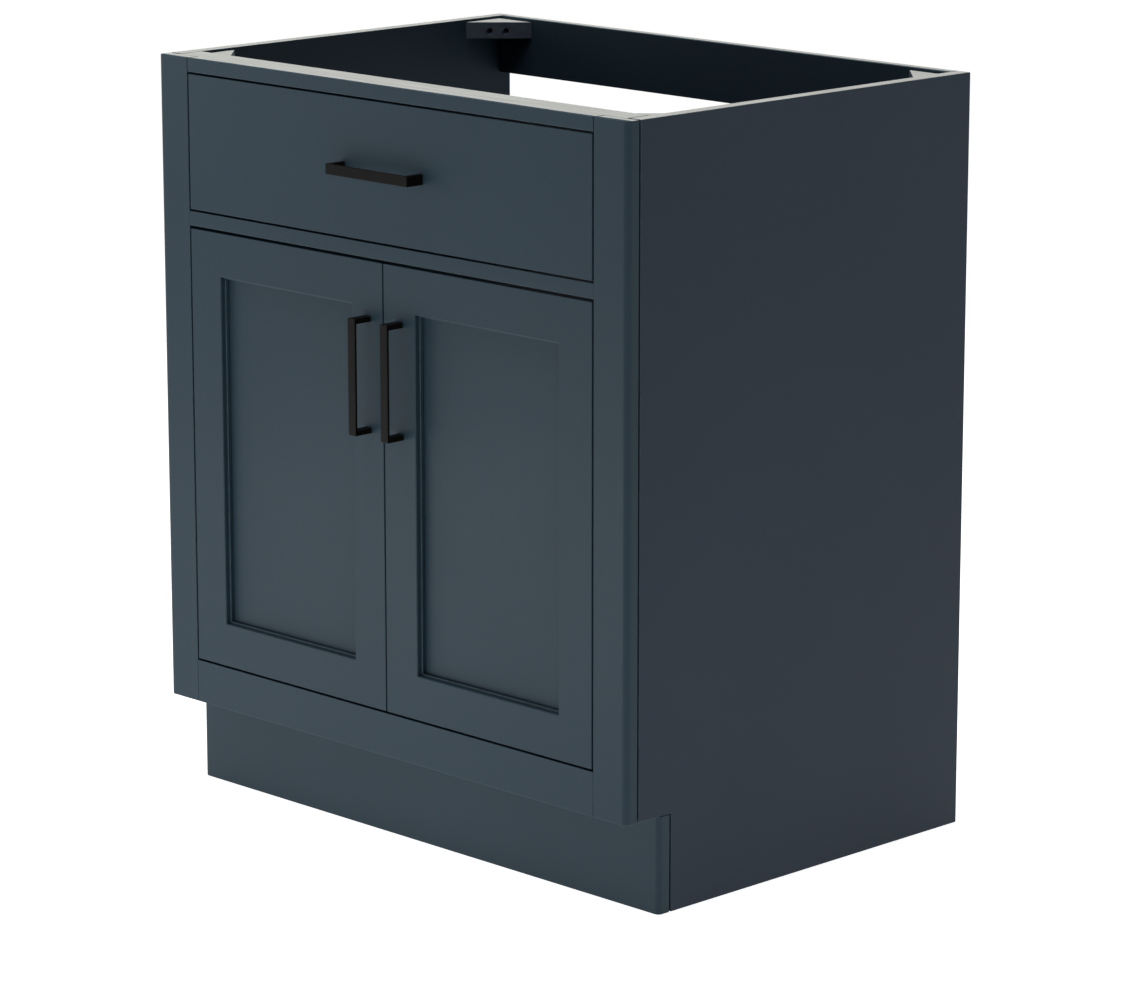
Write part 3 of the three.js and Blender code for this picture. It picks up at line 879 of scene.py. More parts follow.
@dataclass
class Carcass:
    """Side panels, floor, rails, cleats, toe kick and corner blocks."""

    finishes: Finishes
    edge: float = 0.9 * MM
    seam: float = 2.0 * MM
    toe_round: float = 6 * MM
    pocket_radius: float = 3.6 * MM
    pocket_floor: float = 9 * MM
    block_edge: float = 0.7 * MM
    toe_gap: float = 0.3 * MM
    stretcher_lap: float = 0.25 * MM
    body: str = "carcass"

    def board(
        self, name: str, node: str, grain: Grain, surface: Surface, back_edge: bool = False
    ) -> None:
        """Builds one rectangular board in place of a node.

        Args:
            name: The new piece's name.
            node: The node that it stands for.
            grain: Its grain direction.
            surface: The paint on its faces.
            back_edge: Whether its back edge is unpainted.
        """
        limits = Limits.of(node)
        if node == "top_front_stretcher":
            limits = Limits(limits.low - Vector((0, self.stretcher_lap, 0)), limits.high)
        solid = ease(block(limits), self.edge, lambda e: not along_rim(e, limits.low.y))
        for face in solid.faces:
            face.material_index = surface.value
        slot = "navy_paint" if surface is Surface.OUTSIDE else "inside_paint"
        materials = self.finishes.board(grain)
        if node == "back_rail":
            materials[Surface.RAW.value] = self.finishes.lapped
        piece = make_piece(name, rim_raw(solid, back_edge), materials)
        fit(piece, self.body, slot, node)

    def side_panel(self, side: Side) -> None:
        """Builds a side panel with its toe notch: a darker navy on its outer face as painted shade,
        the inside paint on its inner face.
        """
        node = f"{side.word}_side_panel"
        panel = Limits.of(node)
        toe = Limits.of("toe_kick_board")
        notch_y = toe.high.y + self.toe_gap
        notch_z = Limits.of("left_face_stile").low.z
        front_y, toe_y = panel.low.y + self.seam, notch_y + self.seam
        outline = [
            (front_y, notch_z), (front_y, panel.high.z), (panel.high.y, panel.high.z),
            (panel.high.y, panel.low.z), (toe_y, panel.low.z), (toe_y, notch_z),
        ]
        solid = ease(prism(outline, Axis.X, panel.low.x, panel.high.x), self.edge)
        for face in solid.faces:
            if face.normal.x * side.value < -0.9:
                face.material_index = Surface.INSIDE.value
        # The outer face takes the darker navy, painted shade.
        materials = [self.finishes.panel] + self.finishes.board(Grain.ALONG_Y)[1:]
        piece = make_piece(f"side_panel_{side.word}", rim_raw(solid, True), materials)
        fit(piece, self.body, "navy_paint", node)

    def toe_kick(self) -> None:
        """Builds the toe-kick board with its rounded front corners."""
        toe = Limits.of("toe_kick_board")
        r = self.toe_round
        outline = [(toe.low.x, toe.high.y)]
        outline += arc((toe.low.x + r, toe.low.y + r), r, 180, 270, 8)
        outline += arc((toe.high.x - r, toe.low.y + r), r, 270, 360, 8)
        outline.append((toe.high.x, toe.high.y))
        solid = ease(prism(outline, Axis.Z, toe.low.z, toe.high.z), self.edge)
        piece = make_piece("toe_kick", solid, self.finishes.board(Grain.ALONG_X))
        fit(piece, self.body, "navy_paint", "toe_kick_board")

    def corner_block(self, end: str, side: Side) -> None:
        """Builds a triangular corner block with two slanted screw pockets in its long face.

        Args:
            end: "front" or "back".
            side: The side of the cabinet it is on.
        """
        node = f"{end}_{side.word}_corner_block"
        box = Limits.of(node)
        into = 1 if end == "front" else -1
        near_y, far_y = (box.low.y, box.high.y) if into > 0 else (box.high.y, box.low.y)
        outer_x, inner_x = box.outer_x(side), box.inner_x(side)
        triangle = [(outer_x, near_y), (inner_x, near_y), (outer_x, far_y)]
        solid = ease(prism(triangle, Axis.Z, box.low.z, box.high.z), self.block_edge)
        pockets = []
        for spot, drill in pocket_lines(end, side):
            pocket = rod(Axis.Z, self.pocket_radius, -5 * MM, self.pocket_floor, (0.0, 0.0))
            turn = drill.to_track_quat("Z", "Y").to_matrix().to_4x4()
            bmesh.ops.transform(pocket, matrix=Matrix.Translation(spot) @ turn, verts=pocket.verts)
            pockets.append(pocket)
        solid = carved(solid, *pockets)
        for face in solid.faces:
            top = face.normal.z > 0.98 and face.calc_center_median().z > box.high.z - 0.05 * MM
            face.material_index = (Surface.RAW if top else Surface.INSIDE).value
        materials = self.finishes.board(Grain.ALONG_X)[:2] + [self.finishes.stained]
        piece = make_piece(f"corner_block_{end}_{side.word}", solid, materials)
        fit(piece, self.body, "inside_paint", node)

    def build(self) -> None:
        """Builds every board of the carcass."""
        for side in Side:
            self.side_panel(side)
            node = f"{side.word}_hinge_cleat"
            self.board(f"hinge_cleat_{side.word}", node, Grain.ALONG_Z, Surface.INSIDE)
            for end in ("front", "back"):
                self.corner_block(end, side)
        self.board("front_stretcher", "top_front_stretcher", Grain.ALONG_X, Surface.INSIDE)
        self.board("top_back_rail", "back_rail", Grain.ALONG_X, Surface.INSIDE)
        self.board("bottom_back_rail", "lower_back_rail", Grain.ALONG_X, Surface.INSIDE)
        self.board("floor_panel", "cabinet_floor", Grain.ALONG_X, Surface.INSIDE, True)
        self.toe_kick()


@dataclass
class FaceFrame:
    """The two stiles and three rails on the cabinet's front."""

    finishes: Finishes
    stile_round: float = 7 * MM
    top_seam: float = 0.9 * MM
    edge: float = 0.7 * MM
    recess_depth: float = 1.8 * MM
    recess_slack: float = 0.3 * MM
    body: str = "carcass"

    def stile(self, side: Side) -> None:
        """Builds a stile with its rounded outer edge and the recess for the tip-out bracket."""
        node = f"{side.word}_face_stile"
        box = Limits.of(node)
        r = self.stile_round
        if side is Side.LEFT:
            outline = [(box.low.x, box.high.y)]
            outline += arc((box.low.x + r, box.low.y + r), r, 180, 270, 10)
            outline += [(box.high.x, box.low.y), (box.high.x, box.high.y)]
        else:
            outline = [(box.low.x, box.high.y), (box.low.x, box.low.y)]
            outline += arc((box.high.x - r, box.low.y + r), r, 270, 360, 10)
            outline.append((box.high.x, box.high.y))
        solid = ease(prism(outline, Axis.Z, box.low.z, box.high.z), self.edge)
        bracket = Limits.of(f"{side.word}_tip_out_bracket")
        inner_x, slack = box.inner_x(side), self.recess_slack
        ends = (inner_x - side.value * MM, inner_x + side.value * self.recess_depth)
        low_x, high_x = sorted(ends)
        recess = Limits(
            Vector((low_x, bracket.low.y + BRACKET_SETBACK - slack, bracket.low.z - slack)),
            Vector((high_x, box.high.y + MM, bracket.high.z + slack)),
        )
        solid = rim_raw(carved(solid, block(recess)))
        piece = make_piece(f"stile_{side.word}", solid, self.finishes.board(Grain.ALONG_Z))
        fit(piece, self.body, "navy_paint", node)

    def rail(self, level: str) -> None:
        """Builds the top, middle or bottom rail."""
        node = f"{level}_face_rail"
        limits = Limits.of(node)
        if level == "top":
            limits = limits.widened(x=-self.top_seam)
        solid = ease(block(limits), self.edge, lambda e: not along_rim(e, limits.high.y))
        rim_raw(solid)
        piece = make_piece(f"rail_{level}", solid, self.finishes.board(Grain.ALONG_X))
        fit(piece, self.body, "navy_paint", node)

    def build(self) -> None:
        """Builds the whole face frame."""
        for side in Side:
            self.stile(side)
        for level in ("top", "middle", "bottom"):
            self.rail(level)


# ---- doors and pulls ------------------------------------------------------------------------
@dataclass
class FlatBarPull:
    """A flat-bar pull: a thin grip between two thicker legs."""

    finishes: Finishes
    node: str
    body: str
    grip: float = 3 * MM
    leg: float = 6 * MM
    edge: float = 0.6 * MM

    def build(self) -> None:
        """Builds the pull along its node's longer side."""
        box = Limits.of(self.node)
        standing = box.high.z - box.low.z > box.high.x - box.low.x
        low, high = (box.low.z, box.high.z) if standing else (box.low.x, box.high.x)
        front, back = box.low.y, box.high.y
        bow = [
            (low, back), (low, front), (high, front), (high, back),
            (high - self.leg, back), (high - self.leg, front + self.grip),
            (low + self.leg, front + self.grip), (low + self.leg, back),
        ]
        if standing:
            outline = [(y, along) for along, y in bow]
            solid = prism(outline, Axis.X, box.low.x, box.high.x)
        else:
            solid = prism(bow, Axis.Z, box.low.z, box.high.z)
        ease(solid, self.edge, lambda e: not all(v.co.y > back - HAIR for v in e.verts))
        piece = make_piece(f"bar_{self.node}", solid, [self.finishes.bronze])
        fit(piece, self.body, "black_metal", self.node)


@dataclass
class ShakerDoor:
    """An inset door: two stiles, two rails and a flat panel held by a small bead."""

    finishes: Finishes
    side: Side
    member: float = 51 * MM
    bead: float = 2.5 * MM
    bead_depth: Point2 = (5.5, 10.2)
    outer_edge: float = 0.7 * MM
    inner_edge: float = 1.0 * MM
    trim: float = 0.45 * MM
    top_trim: float = 0.4 * MM
    joint: float = 0.01 * MM
    bead_lap: float = 0.02 * MM
    cup_radius: float = 17.8 * MM
    bore_gap: float = 0.3 * MM

    @property
    def body(self) -> str:
        """The name of the door's body."""
        return f"{self.side.word}_door"

    def node(self, part: str) -> str:
        """Returns the name of one of this door's nodes."""
        return f"{self.side.word}_door_{part}"

    def outline(self) -> Limits:
        """Returns the whole door's limits, without its pull and hinges."""
        hinge, meeting = Limits.of(self.node("hinge_stile")), Limits.of(self.node("meeting_stile"))
        low = Vector([min(a, b) for a, b in zip(hinge.low, meeting.low)])
        high = Vector([max(a, b) for a, b in zip(hinge.high, meeting.high)])
        if self.side is Side.LEFT:
            low.x += self.trim
        else:
            high.x -= self.trim
        return Limits(low, high - Vector((0, 0, self.top_trim))).widened(z=-self.trim)

    def ring(self, outer: Limits, member: float, width: float) -> bmesh.types.BMesh:
        """Makes a rectangular frame with its front and back edges eased.

        Args:
            outer: Outer limits of the frame.
            member: Width of its members.
            width: Width of the rounding on its outer edges.

        Returns:
            The frame as one solid.
        """
        solid = bmesh.new()
        loops = []
        for inset in (0.0, member):
            for y in (outer.low.y, outer.high.y):
                corners = outer.widened(-inset, 0, -inset).corners(Axis.Y)
                loops.append([solid.verts.new((x, y, z)) for x, z in corners])
        outer_front, outer_back, inner_front, inner_back = loops
        for i in range(4):
            j = (i + 1) % 4
            solid.faces.new((outer_front[i], outer_front[j], inner_front[j], inner_front[i]))
            solid.faces.new((outer_back[i], inner_back[i], inner_back[j], outer_back[j]))
            solid.faces.new((outer_front[i], outer_back[i], outer_back[j], outer_front[j]))
            solid.faces.new((inner_front[i], inner_front[j], inner_back[j], inner_back[i]))
        bmesh.ops.recalc_face_normals(solid, faces=solid.faces)
        sight = outer.widened(-member, 0, -member).widened(HAIR, 0, HAIR)

        def is_inner(edge: bmesh.types.BMEdge) -> bool:
            """Says whether an edge lies on the frame's inner opening."""
            middle = (edge.verts[0].co + edge.verts[1].co) / 2
            inside_x = sight.low.x < middle.x < sight.high.x
            return inside_x and sight.low.z < middle.z < sight.high.z

        def level(edge: bmesh.types.BMEdge) -> bool:
            """Says whether an edge lies in the frame's front or back face."""
            return abs(edge.verts[0].co.y - edge.verts[1].co.y) < MM

        ease(solid, self.inner_edge, lambda e: is_inner(e) and level(e))
        # The outer edges are marked weakly, so their painted highlight stays faint and the gaps
        # stay dark.
        ease(solid, width, lambda e: not is_inner(e), wear_and_highlight=0.3)
        return solid

    def members(self) -> None:
        """Builds the two stiles and two rails from one continuous frame."""
        outer = self.outline()
        whole = self.ring(outer, self.member, self.outer_edge)
        sight = self.member + self.joint
        left_x, right_x = outer.low.x + sight, outer.high.x - sight
        spans = {"left": (outer.low.x - MM, left_x), "right": (right_x, outer.high.x + MM)}
        upright, level = ([self.finishes.outside[g]] for g in (Grain.ALONG_Z, Grain.ALONG_X))
        for end, (low, high) in spans.items():
            part = "hinge_stile" if end == self.side.word else "meeting_stile"
            solid = sliced(whole, Axis.X, low, high)
            if part == "hinge_stile":
                solid = carved(solid, *self.cup_bores(outer))
            piece = make_piece(f"door_{self.side.word}_{part}", solid, upright)
            fit(piece, self.body, "navy_paint", self.node(part))
        low_z, middle_z, high_z = outer.low.z - MM, outer.middle("z"), outer.high.z + MM
        heights = {"bottom_rail": (low_z, middle_z), "top_rail": (middle_z, high_z)}
        between = sliced(whole, Axis.X, left_x, right_x)
        for part, (low, high) in heights.items():
            solid = sliced(between, Axis.Z, low, high)
            piece = make_piece(f"door_{self.side.word}_{part}", solid, level)
            fit(piece, self.body, "navy_paint", self.node(part))
        between.free()
        whole.free()

    def cup_bores(self, outer: Limits) -> list[bmesh.types.BMesh]:
        """Makes the solids that cut the two hinge-cup bores.

        Args:
            outer: The whole door's limits.

        Returns:
            The two solids.
        """
        edge_x = outer.outer_x(self.side)
        centre_x = edge_x - self.side.value * CUP_INSET
        bores = []
        for level in ("lower", "upper"):
            cup = Limits.of(f"{self.side.word}_{level}_hinge_cup")
            at, floor = (centre_x, cup.middle("z")), cup.low.y - self.bore_gap
            bores.append(rod(Axis.Y, self.cup_radius, floor, outer.high.y + MM, at))
        return bores

    def panel(self) -> None:
        """Builds the flat panel with the bead that frames it."""
        inset = -self.member + self.bead_lap
        outer = self.outline().widened(inset, 0, inset)
        low = Vector((outer.low.x, depth(self.bead_depth[0]), outer.low.z))
        high = Vector((outer.high.x, depth(self.bead_depth[1]), outer.high.z))
        bead = self.ring(Limits(low, high), self.bead, 0.1 * MM)
        board = ease(block(Limits.of(self.node("panel"))), 0.4 * MM)
        paint = [self.finishes.outside[Grain.ALONG_Z]]
        piece = make_piece(f"door_{self.side.word}_panel", merged(bead, board), paint)
        fit(piece, self.body, "navy_paint", self.node("panel"))

    def build(self) -> None:
        """Builds the door and its pull."""
        self.members()
        self.panel()
        FlatBarPull(self.finishes, self.node("pull"), self.body).build()


# ---- concealed hinges -----------------------------------------------------------------------
@dataclass
class ConcealedHinge:
    """A cup hinge: cup with its flange, gooseneck arm, link and mounting plate."""

    finishes: Finishes
    side: Side
    level: str
    cup_radius: float = 17.5 * MM
    cup_wall: float = 1 * MM
    flange_radius: float = 19.5 * MM
    flange: float = 1.2 * MM
    ear_radius: float = 5.5 * MM
    arm_half: float = 7 * MM
    nose_half: float = 4 * MM
    arm_lip: float = 1.2 * MM
    cheek: Point2 = (4.4 * MM, 5.9 * MM)
    pin_radii: Point2 = (1.5 * MM, 1.6 * MM)
    pin_half: float = 6.1 * MM
    plate_half: float = 9 * MM
    wing_reach: float = 24 * MM
    plate_depths: Point2 = (30.0, 74.0)
    wing_depths: Point2 = (42.0, 60.0)
    knuckle: Point2 = (33.5, 12.5)
    link_end: Point2 = (14.5, 14.0)
    link_radii: tuple[float, float, float] = (2.6 * MM, 1.9 * MM, 1.2 * MM)

    def node(self, part: str) -> str:
        """Returns the name of one of this hinge's nodes."""
        return f"{self.side.word}_{self.level}_hinge_{part}"

    @property
    def edge_x(self) -> float:
        """X of the door's hinge edge."""
        return Limits.of(f"{self.side.word}_door_hinge_stile").outer_x(self.side)

    @property
    def middle_z(self) -> float:
        """Height of the hinge's middle."""
        return Limits.of(self.node("cup")).middle("z")

    def inward(self, distance: float) -> float:
        """Returns the X a distance in from the door's hinge edge."""
        return self.edge_x - self.side.value * distance

    def spot(self, inset_mm: float, depth_mm: float) -> Point2:
        """Returns an outline point from an inset and a depth in millimetres."""
        return (self.inward(inset_mm * MM), depth(depth_mm))

    def cup(self) -> None:
        """Builds the drawn cup and its pressed flange."""
        box = Limits.of(self.node("cup"))
        centre = Vector((self.inward(CUP_INSET), 0.0, self.middle_z))
        floor, top = box.low.y, box.high.y
        seat = top - self.flange
        inner = self.cup_radius - self.cup_wall
        profile = [
            (0, floor), (self.cup_radius - 2 * MM, floor), (self.cup_radius, floor + 2 * MM),
            (self.cup_radius, seat), (self.flange_radius - 0.8 * MM, seat),
            (self.flange_radius - 0.8 * MM, top - 0.2 * MM), (inner + 0.6 * MM, top - 0.02 * MM),
            (inner, top - 0.6 * MM), (inner, floor + 2.4 * MM), (inner - 1.4 * MM, floor + MM),
            (0, floor + MM),
        ]
        bowl = ease(turned(profile, centre), 0.15 * MM)
        x, z = centre.x, centre.z
        ear_x = self.inward(EAR_INSET)
        spots = arc((x, z), self.flange_radius, 0, 352.5, 47)
        for way in (-1, 1):
            spots += arc((ear_x, z + way * EAR_REACH), self.ear_radius, 0, 345, 23)
        flange = prism(hull(spots), Axis.Y, seat, top - 0.1 * MM)
        hole = rod(Axis.Y, inner + 0.4 * MM, seat - MM, top + MM, (x, z))
        flange = ease(carved(flange, hole), 0.3 * MM)
        piece = make_piece(
            f"hinge_cup_{self.side.word}_{self.level}", merged(bowl, flange), [self.finishes.nickel]
        )
        fit(piece, f"{self.side.word}_door", "nickel_steel", self.node("cup"))

    def arm(self) -> None:
        """Builds the gooseneck arm as a pressed channel with a narrow nose."""
        z, half, thin = self.middle_z, self.arm_half, self.nose_half
        neck = rounded([self.spot(*p) for p in (
            (1.1, 78), (5.1, 78), (5.1, 29), (9.5, 25), (36.5, 25), (36.5, 22), (1.1, 22),
        )], 2.2 * MM)
        body = ease(prism(neck, Axis.Z, z - half, z + half), 0.5 * MM)
        inset, deep = self.knuckle
        nose = rounded([self.spot(*p) for p in (
            (inset - 3, 24.5), (inset + 3, 24.5), (inset + 3, deep), (inset + 1.5, deep - 2.8),
            (inset - 1.5, deep - 2.8), (inset - 3, deep),
        )], 1.2 * MM)
        tongue = ease(prism(nose, Axis.Z, z - thin, z + thin), 0.3 * MM)
        lips = []
        corners = ((5.0, 76), (8.2, 76), (8.2, 32), (5.0, 32))
        for way in (-1, 1):
            lip = rounded([self.spot(*p) for p in corners], 1.5 * MM)
            low, high = sorted((z + way * half, z + way * (half - self.arm_lip)))
            lips.append(ease(prism(lip, Axis.Z, low, high), 0.2 * MM))
        solid = merged(body, tongue, *lips)
        name = f"hinge_arm_{self.side.word}_{self.level}"
        piece = make_piece(name, solid, [self.finishes.nickel])
        fit(piece, "carcass", "nickel_steel", self.node("arm"))

    def waisted(self, start: Vector, end: Vector) -> list[Point2]:
        """Returns the link cheek's outline: two round eyes joined by a narrow bar.

        Args:
            start: Centre of the larger eye.
            end: Centre of the smaller eye.

        Returns:
            The outline's points.
        """
        run = end - start
        heading = math.degrees(math.atan2(run.y, run.x))
        eye, foot, half = self.link_radii
        near = math.degrees(math.asin(half / eye))
        far = math.degrees(math.asin(half / foot))
        outline = arc(tuple(start), eye, heading + near, heading + 360 - near, 20)
        return outline + arc(tuple(end), foot, heading - 180 + far, heading + 180 - far, 16)

    def link(self) -> None:
        """Builds the link: two cheeks, the rivet through the nose and the bar in the cup."""
        z = self.middle_z
        start, end = Vector(self.spot(*self.knuckle)), Vector(self.spot(*self.link_end))
        outline = self.waisted(start, end)
        solids = []
        for way in (-1, 1):
            low, high = sorted(z + way * reach for reach in self.cheek)
            solids.append(ease(prism(outline, Axis.Z, low, high), 0.25 * MM))
        for radius, at in zip(self.pin_radii, (start, end)):
            pin = rod(Axis.Z, radius, z - self.pin_half, z + self.pin_half, tuple(at))
            solids.append(ease(pin, 0.3 * MM))
        piece = make_piece(
            f"hinge_link_{self.side.word}_{self.level}", merged(*solids), [self.finishes.nickel]
        )
        fit(piece, f"{self.side.word}_hinge_links", "nickel_steel", self.node("link"))

    def plate(self) -> None:
        """Builds the mounting plate with its wings."""
        box = Limits.of(self.node("plate"))
        z = self.middle_z
        front, back = (depth(place) for place in self.plate_depths)
        wing_front, wing_back = (depth(place) for place in self.wing_depths)
        half, reach = self.plate_half, self.wing_reach
        lower = [
            (front, half), (wing_front, half), (wing_front, reach), (wing_back, reach),
            (wing_back, half), (back, half),
        ]
        upper = [(y, z + rise) for y, rise in reversed(lower)]
        outline = rounded([(y, z - drop) for y, drop in lower] + upper, 3.5 * MM)
        solid = ease(prism(outline, Axis.X, box.low.x, box.high.x), 0.4 * MM)
        name = f"hinge_plate_{self.side.word}_{self.level}"
        piece = make_piece(name, solid, [self.finishes.nickel])
        fit(piece, "carcass", "nickel_steel", self.node("plate"))

    def build(self) -> None:
        """Builds the hinge's four pieces."""
        self.cup()
        self.arm()
        self.link()
        self.plate()


# ---- tip-out front --------------------------------------------------------------------------
@dataclass
class TipOutFront:
    """The slab front with its pull, tray, slotted stays and brackets."""

    finishes: Finishes
    edge: float = 0.7 * MM
    trim: float = 0.45 * MM
    pivot: Point2 = (5.0, 0.7055)
    guide_radius: float = 64 * MM
    guide_angles: Point2 = (30.0, 70.0)
    slot_half: float = 2.3 * MM
    rim: float = 73 * MM
    sheet: float = 1.5 * MM
    flange_height: float = 48 * MM
    tray_wall: float = 2 * MM
    tray_corner: float = 9 * MM
    tray_inner_corner: float = 7 * MM
    tray_lip: float = 1.2 * MM
    tray_lip_height: float = 3 * MM
    body: str = "tip_out"

    @property
    def centre(self) -> Point2:
        """The pivot in the outline plane of depth and height."""
        return (depth(self.pivot[0]), self.pivot[1])

    def slab(self) -> None:
        """Builds the front board."""
        limits = Limits.of("tip_out_front").widened(x=-self.trim, z=-self.trim)
        # The slab's edges are marked weakly, so their painted highlight stays faint.
        solid = ease(block(limits), self.edge, wear_and_highlight=0.3)
        piece = make_piece("tip_out_slab", solid, [self.finishes.outside[Grain.ALONG_X]])
        fit(piece, self.body, "navy_paint", "tip_out_front")

    def tray(self) -> None:
        """Builds the moulded tray with rounded corners and a thickened rim."""
        box = Limits.of("tip_out_tray")
        wall, corner = self.tray_wall, self.tray_corner
        floor_z, rim_z, above_z = box.low.z + wall, box.high.z, box.high.z + MM
        shell = prism(rounded(box.corners(Axis.Z), corner, 6), Axis.Z, box.low.z, rim_z)
        ease(shell, 3 * MM, lambda e: all(v.co.z < box.low.z + HAIR for v in e.verts), 4)
        inside = rounded(
            box.widened(-wall, -wall, 0).corners(Axis.Z), self.tray_inner_corner, 6
        )
        hollow = prism(inside, Axis.Z, floor_z, above_z)
        ease(hollow, 2.5 * MM, lambda e: all(v.co.z < floor_z + HAIR for v in e.verts), 4)
        shell = carved(shell, hollow)
        lip_outline = rounded(box.widened(self.tray_lip, 0, 0).corners(Axis.Z), corner, 6)
        lip = prism(lip_outline, Axis.Z, rim_z - self.tray_lip_height, rim_z)
        lip = ease(carved(lip, prism(inside, Axis.Z, rim_z - 5 * MM, above_z)), 0.5 * MM)
        piece = make_piece("tip_out_tray_shell", merged(shell, lip), [self.finishes.plastic])
        fit(piece, self.body, "tray_plastic", "tip_out_tray")

    def slot_cutter(self, low: float, high: float) -> bmesh.types.BMesh:
        """Makes the solid that cuts a stay's curved slot.

        Args:
            low: Lower X of the sheet that is cut.
            high: Its higher X.

        Returns:
            A solid that reaches past both faces of the sheet.
        """
        start, end = self.guide_angles[0] - 0.5, self.guide_angles[1] + 0.5
        half, radius = self.slot_half, self.guide_radius
        ends = [arc(self.centre, radius, angle, angle + 1, 1)[0] for angle in (start, end)]
        outline = arc(self.centre, radius + half, start, end, 20)
        outline += arc(ends[1], half, end, end + 180, 8)[1:-1]
        outline += arc(self.centre, radius - half, end, start, 20)
        outline += arc(ends[0], half, start + 180, start + 360, 8)[1:-1]
        return prism(outline, Axis.X, low - MM, high + MM)

    def stay(self, side: Side) -> None:
        """Builds a slotted stay with its screwed flange."""
        node = f"{side.word}_tip_out_stay"
        box = Limits.of(node)
        web_x = box.outer_wall(side, self.sheet)
        start, end = self.guide_angles[0] - 8, self.guide_angles[1] + 6
        outer = arc(self.centre, self.rim, start, end, 16)
        outline = [(box.low.y, box.low.z + 4 * MM), *outer, (box.low.y, outer[-1][1] - MM)]
        web = ease(carved(prism(outline, Axis.X, *web_x), self.slot_cutter(*web_x)), 0.3 * MM)
        top_z, back_y = box.low.z + self.flange_height, box.low.y + self.sheet
        flange_outline = rounded([
            (box.low.x, box.low.z), (box.high.x, box.low.z), (box.high.x, top_z),
            (box.low.x, top_z),
        ], 2 * MM)
        flange = ease(prism(flange_outline, Axis.Y, box.low.y, back_y), 0.3 * MM)
        piece = make_piece(f"stay_{side.word}", merged(web, flange), [self.finishes.nickel])
        fit(piece, self.body, "nickel_steel", node)

    def bracket(self, side: Side) -> None:
        """Builds the pivot bracket with its two pins."""
        node = f"{side.word}_tip_out_bracket"
        box = Limits.of(node)
        plate_x = box.outer_wall(side, self.sheet)
        guide = arc(self.centre, self.guide_radius, self.guide_angles[1], 90, 1)[0]
        front = box.low.y + BRACKET_SETBACK
        outline = rounded([
            (front, box.low.z), (depth(16), box.low.z), (guide[0] + 8 * MM, guide[1] - 10 * MM),
            (guide[0] + 8 * MM, box.high.z), (front, box.high.z),
        ], 2.5 * MM)
        solids = [ease(prism(outline, Axis.X, *plate_x), 0.3 * MM)]
        for radius, reach, at in ((1.5 * MM, 8 * MM, self.centre), (2.0 * MM, 6 * MM, guide)):
            inner = side.pick(plate_x[1], plate_x[0])
            low, high = sorted((inner + side.value * MM, inner - side.value * reach))
            solids.append(ease(rod(Axis.X, radius, low, high, at), 0.35 * MM))
        piece = make_piece(f"pivot_bracket_{side.word}", merged(*solids), [self.finishes.nickel])
        fit(piece, "carcass", "nickel_steel", node)

    def build(self) -> None:
        """Builds the whole tip-out front."""
        self.slab()
        self.tray()
        for side in Side:
            self.stay(side)
            self.bracket(side)
        FlatBarPull(self.finishes, "tip_out_pull", self.body).build()


# ---- repeated small parts by Geometry Nodes -------------------------------------------------
class GeometrySheet:
    """A Geometry Nodes tree with named size inputs, ending in realized, dressed geometry."""

    def __init__(self, name: str) -> None:
        """Starts a tree with a geometry input and output.

        Args:
            name: The tree's name.
        """
        self.tree = bpy.data.node_groups.new(name, "GeometryNodeTree")
        for way in ("INPUT", "OUTPUT"):
            self.tree.interface.new_socket(
                "Geometry", in_out=way, socket_type="NodeSocketGeometry"
            )
        self.source = self.tree.nodes.new("NodeGroupInput")

    def size(self, name: str, value: float) -> bpy.types.NodeSocket:
        """Adds a named length input and returns its output in the tree."""
        socket = self.tree.interface.new_socket(name, in_out="INPUT", socket_type="NodeSocketFloat")
        socket.default_value = value
        return self.source.outputs[name]

    def node(self, kind: str, **links: object) -> bpy.types.Node:
        """Adds a node and fills its inputs.

        Args:
            kind: The node's type.
            links: Input names, with underscores for spaces, and their values or sources.

        Returns:
            The new node.
        """
        made = self.tree.nodes.new(kind)
        for name, value in links.items():
            socket = made.inputs[name.replace("_", " ")]
            if isinstance(value, bpy.types.NodeSocket):
                self.tree.links.new(value, socket)
            else:
                socket.default_value = value
        return made

    def math(
        self, operation: str, first: bpy.types.NodeSocket, second: bpy.types.NodeSocket | float
    ) -> bpy.types.NodeSocket:
        """Joins two values by a Math operation.

        Args:
            operation: The operation, such as MULTIPLY or MINIMUM.
            first: The first value.
            second: The second value, as an output or a number.

        Returns:
            The result's output.
        """
        made = self.tree.nodes.new("ShaderNodeMath")
        made.operation = operation
        self.tree.links.new(first, made.inputs[0])
        if isinstance(second, bpy.types.NodeSocket):
            self.tree.links.new(second, made.inputs[1])
        else:
            made.inputs[1].default_value = second
        return made.outputs[0]

    def vector(self, x: object, y: object, z: object) -> bpy.types.NodeSocket:
        """Joins three values or numbers into a vector."""
        return self.node("ShaderNodeCombineXYZ", X=x, Y=y, Z=z).outputs[0]

    def close(self, geometry: bpy.types.NodeSocket, material: bpy.types.Material) -> None:
        """Ends the tree with Realize Instances and Set Material."""
        real = self.node("GeometryNodeRealizeInstances", Geometry=geometry)
        dressed = self.node("GeometryNodeSetMaterial", Geometry=real.outputs[0], Material=material)
        output = self.tree.nodes.new("NodeGroupOutput")
        self.tree.links.new(dressed.outputs[0], output.inputs[0])

    def identifier(self, name: str) -> str:
        """Returns the identifier of a named input."""
        for item in self.tree.interface.items_tree:
            if item.name == name and item.in_out == "INPUT":
                return item.identifier
        raise KeyError(name)

    def run(self, piece: bpy.types.Object, sizes: dict[str, float]) -> bpy.types.Object:
        """Grows the tree on an object and leaves the result as its plain mesh.

        Args:
            piece: The object whose points seed the tree.
            sizes: Values for the named inputs.

        Returns:
            The same object, with a plain mesh and no modifier.
        """
        grow = piece.modifiers.new("grow", "NODES")
        grow.node_group = self.tree
        for name, value in sizes.items():
            grow[self.identifier(name)] = value
        mesh = settled(piece)
        piece.modifiers.clear()
        piece.data = mesh
        return piece


@dataclass(frozen=True)
class Screw:
    """One screw head: where it sits and which way its head faces."""

    at: Vector
    faces: Vector


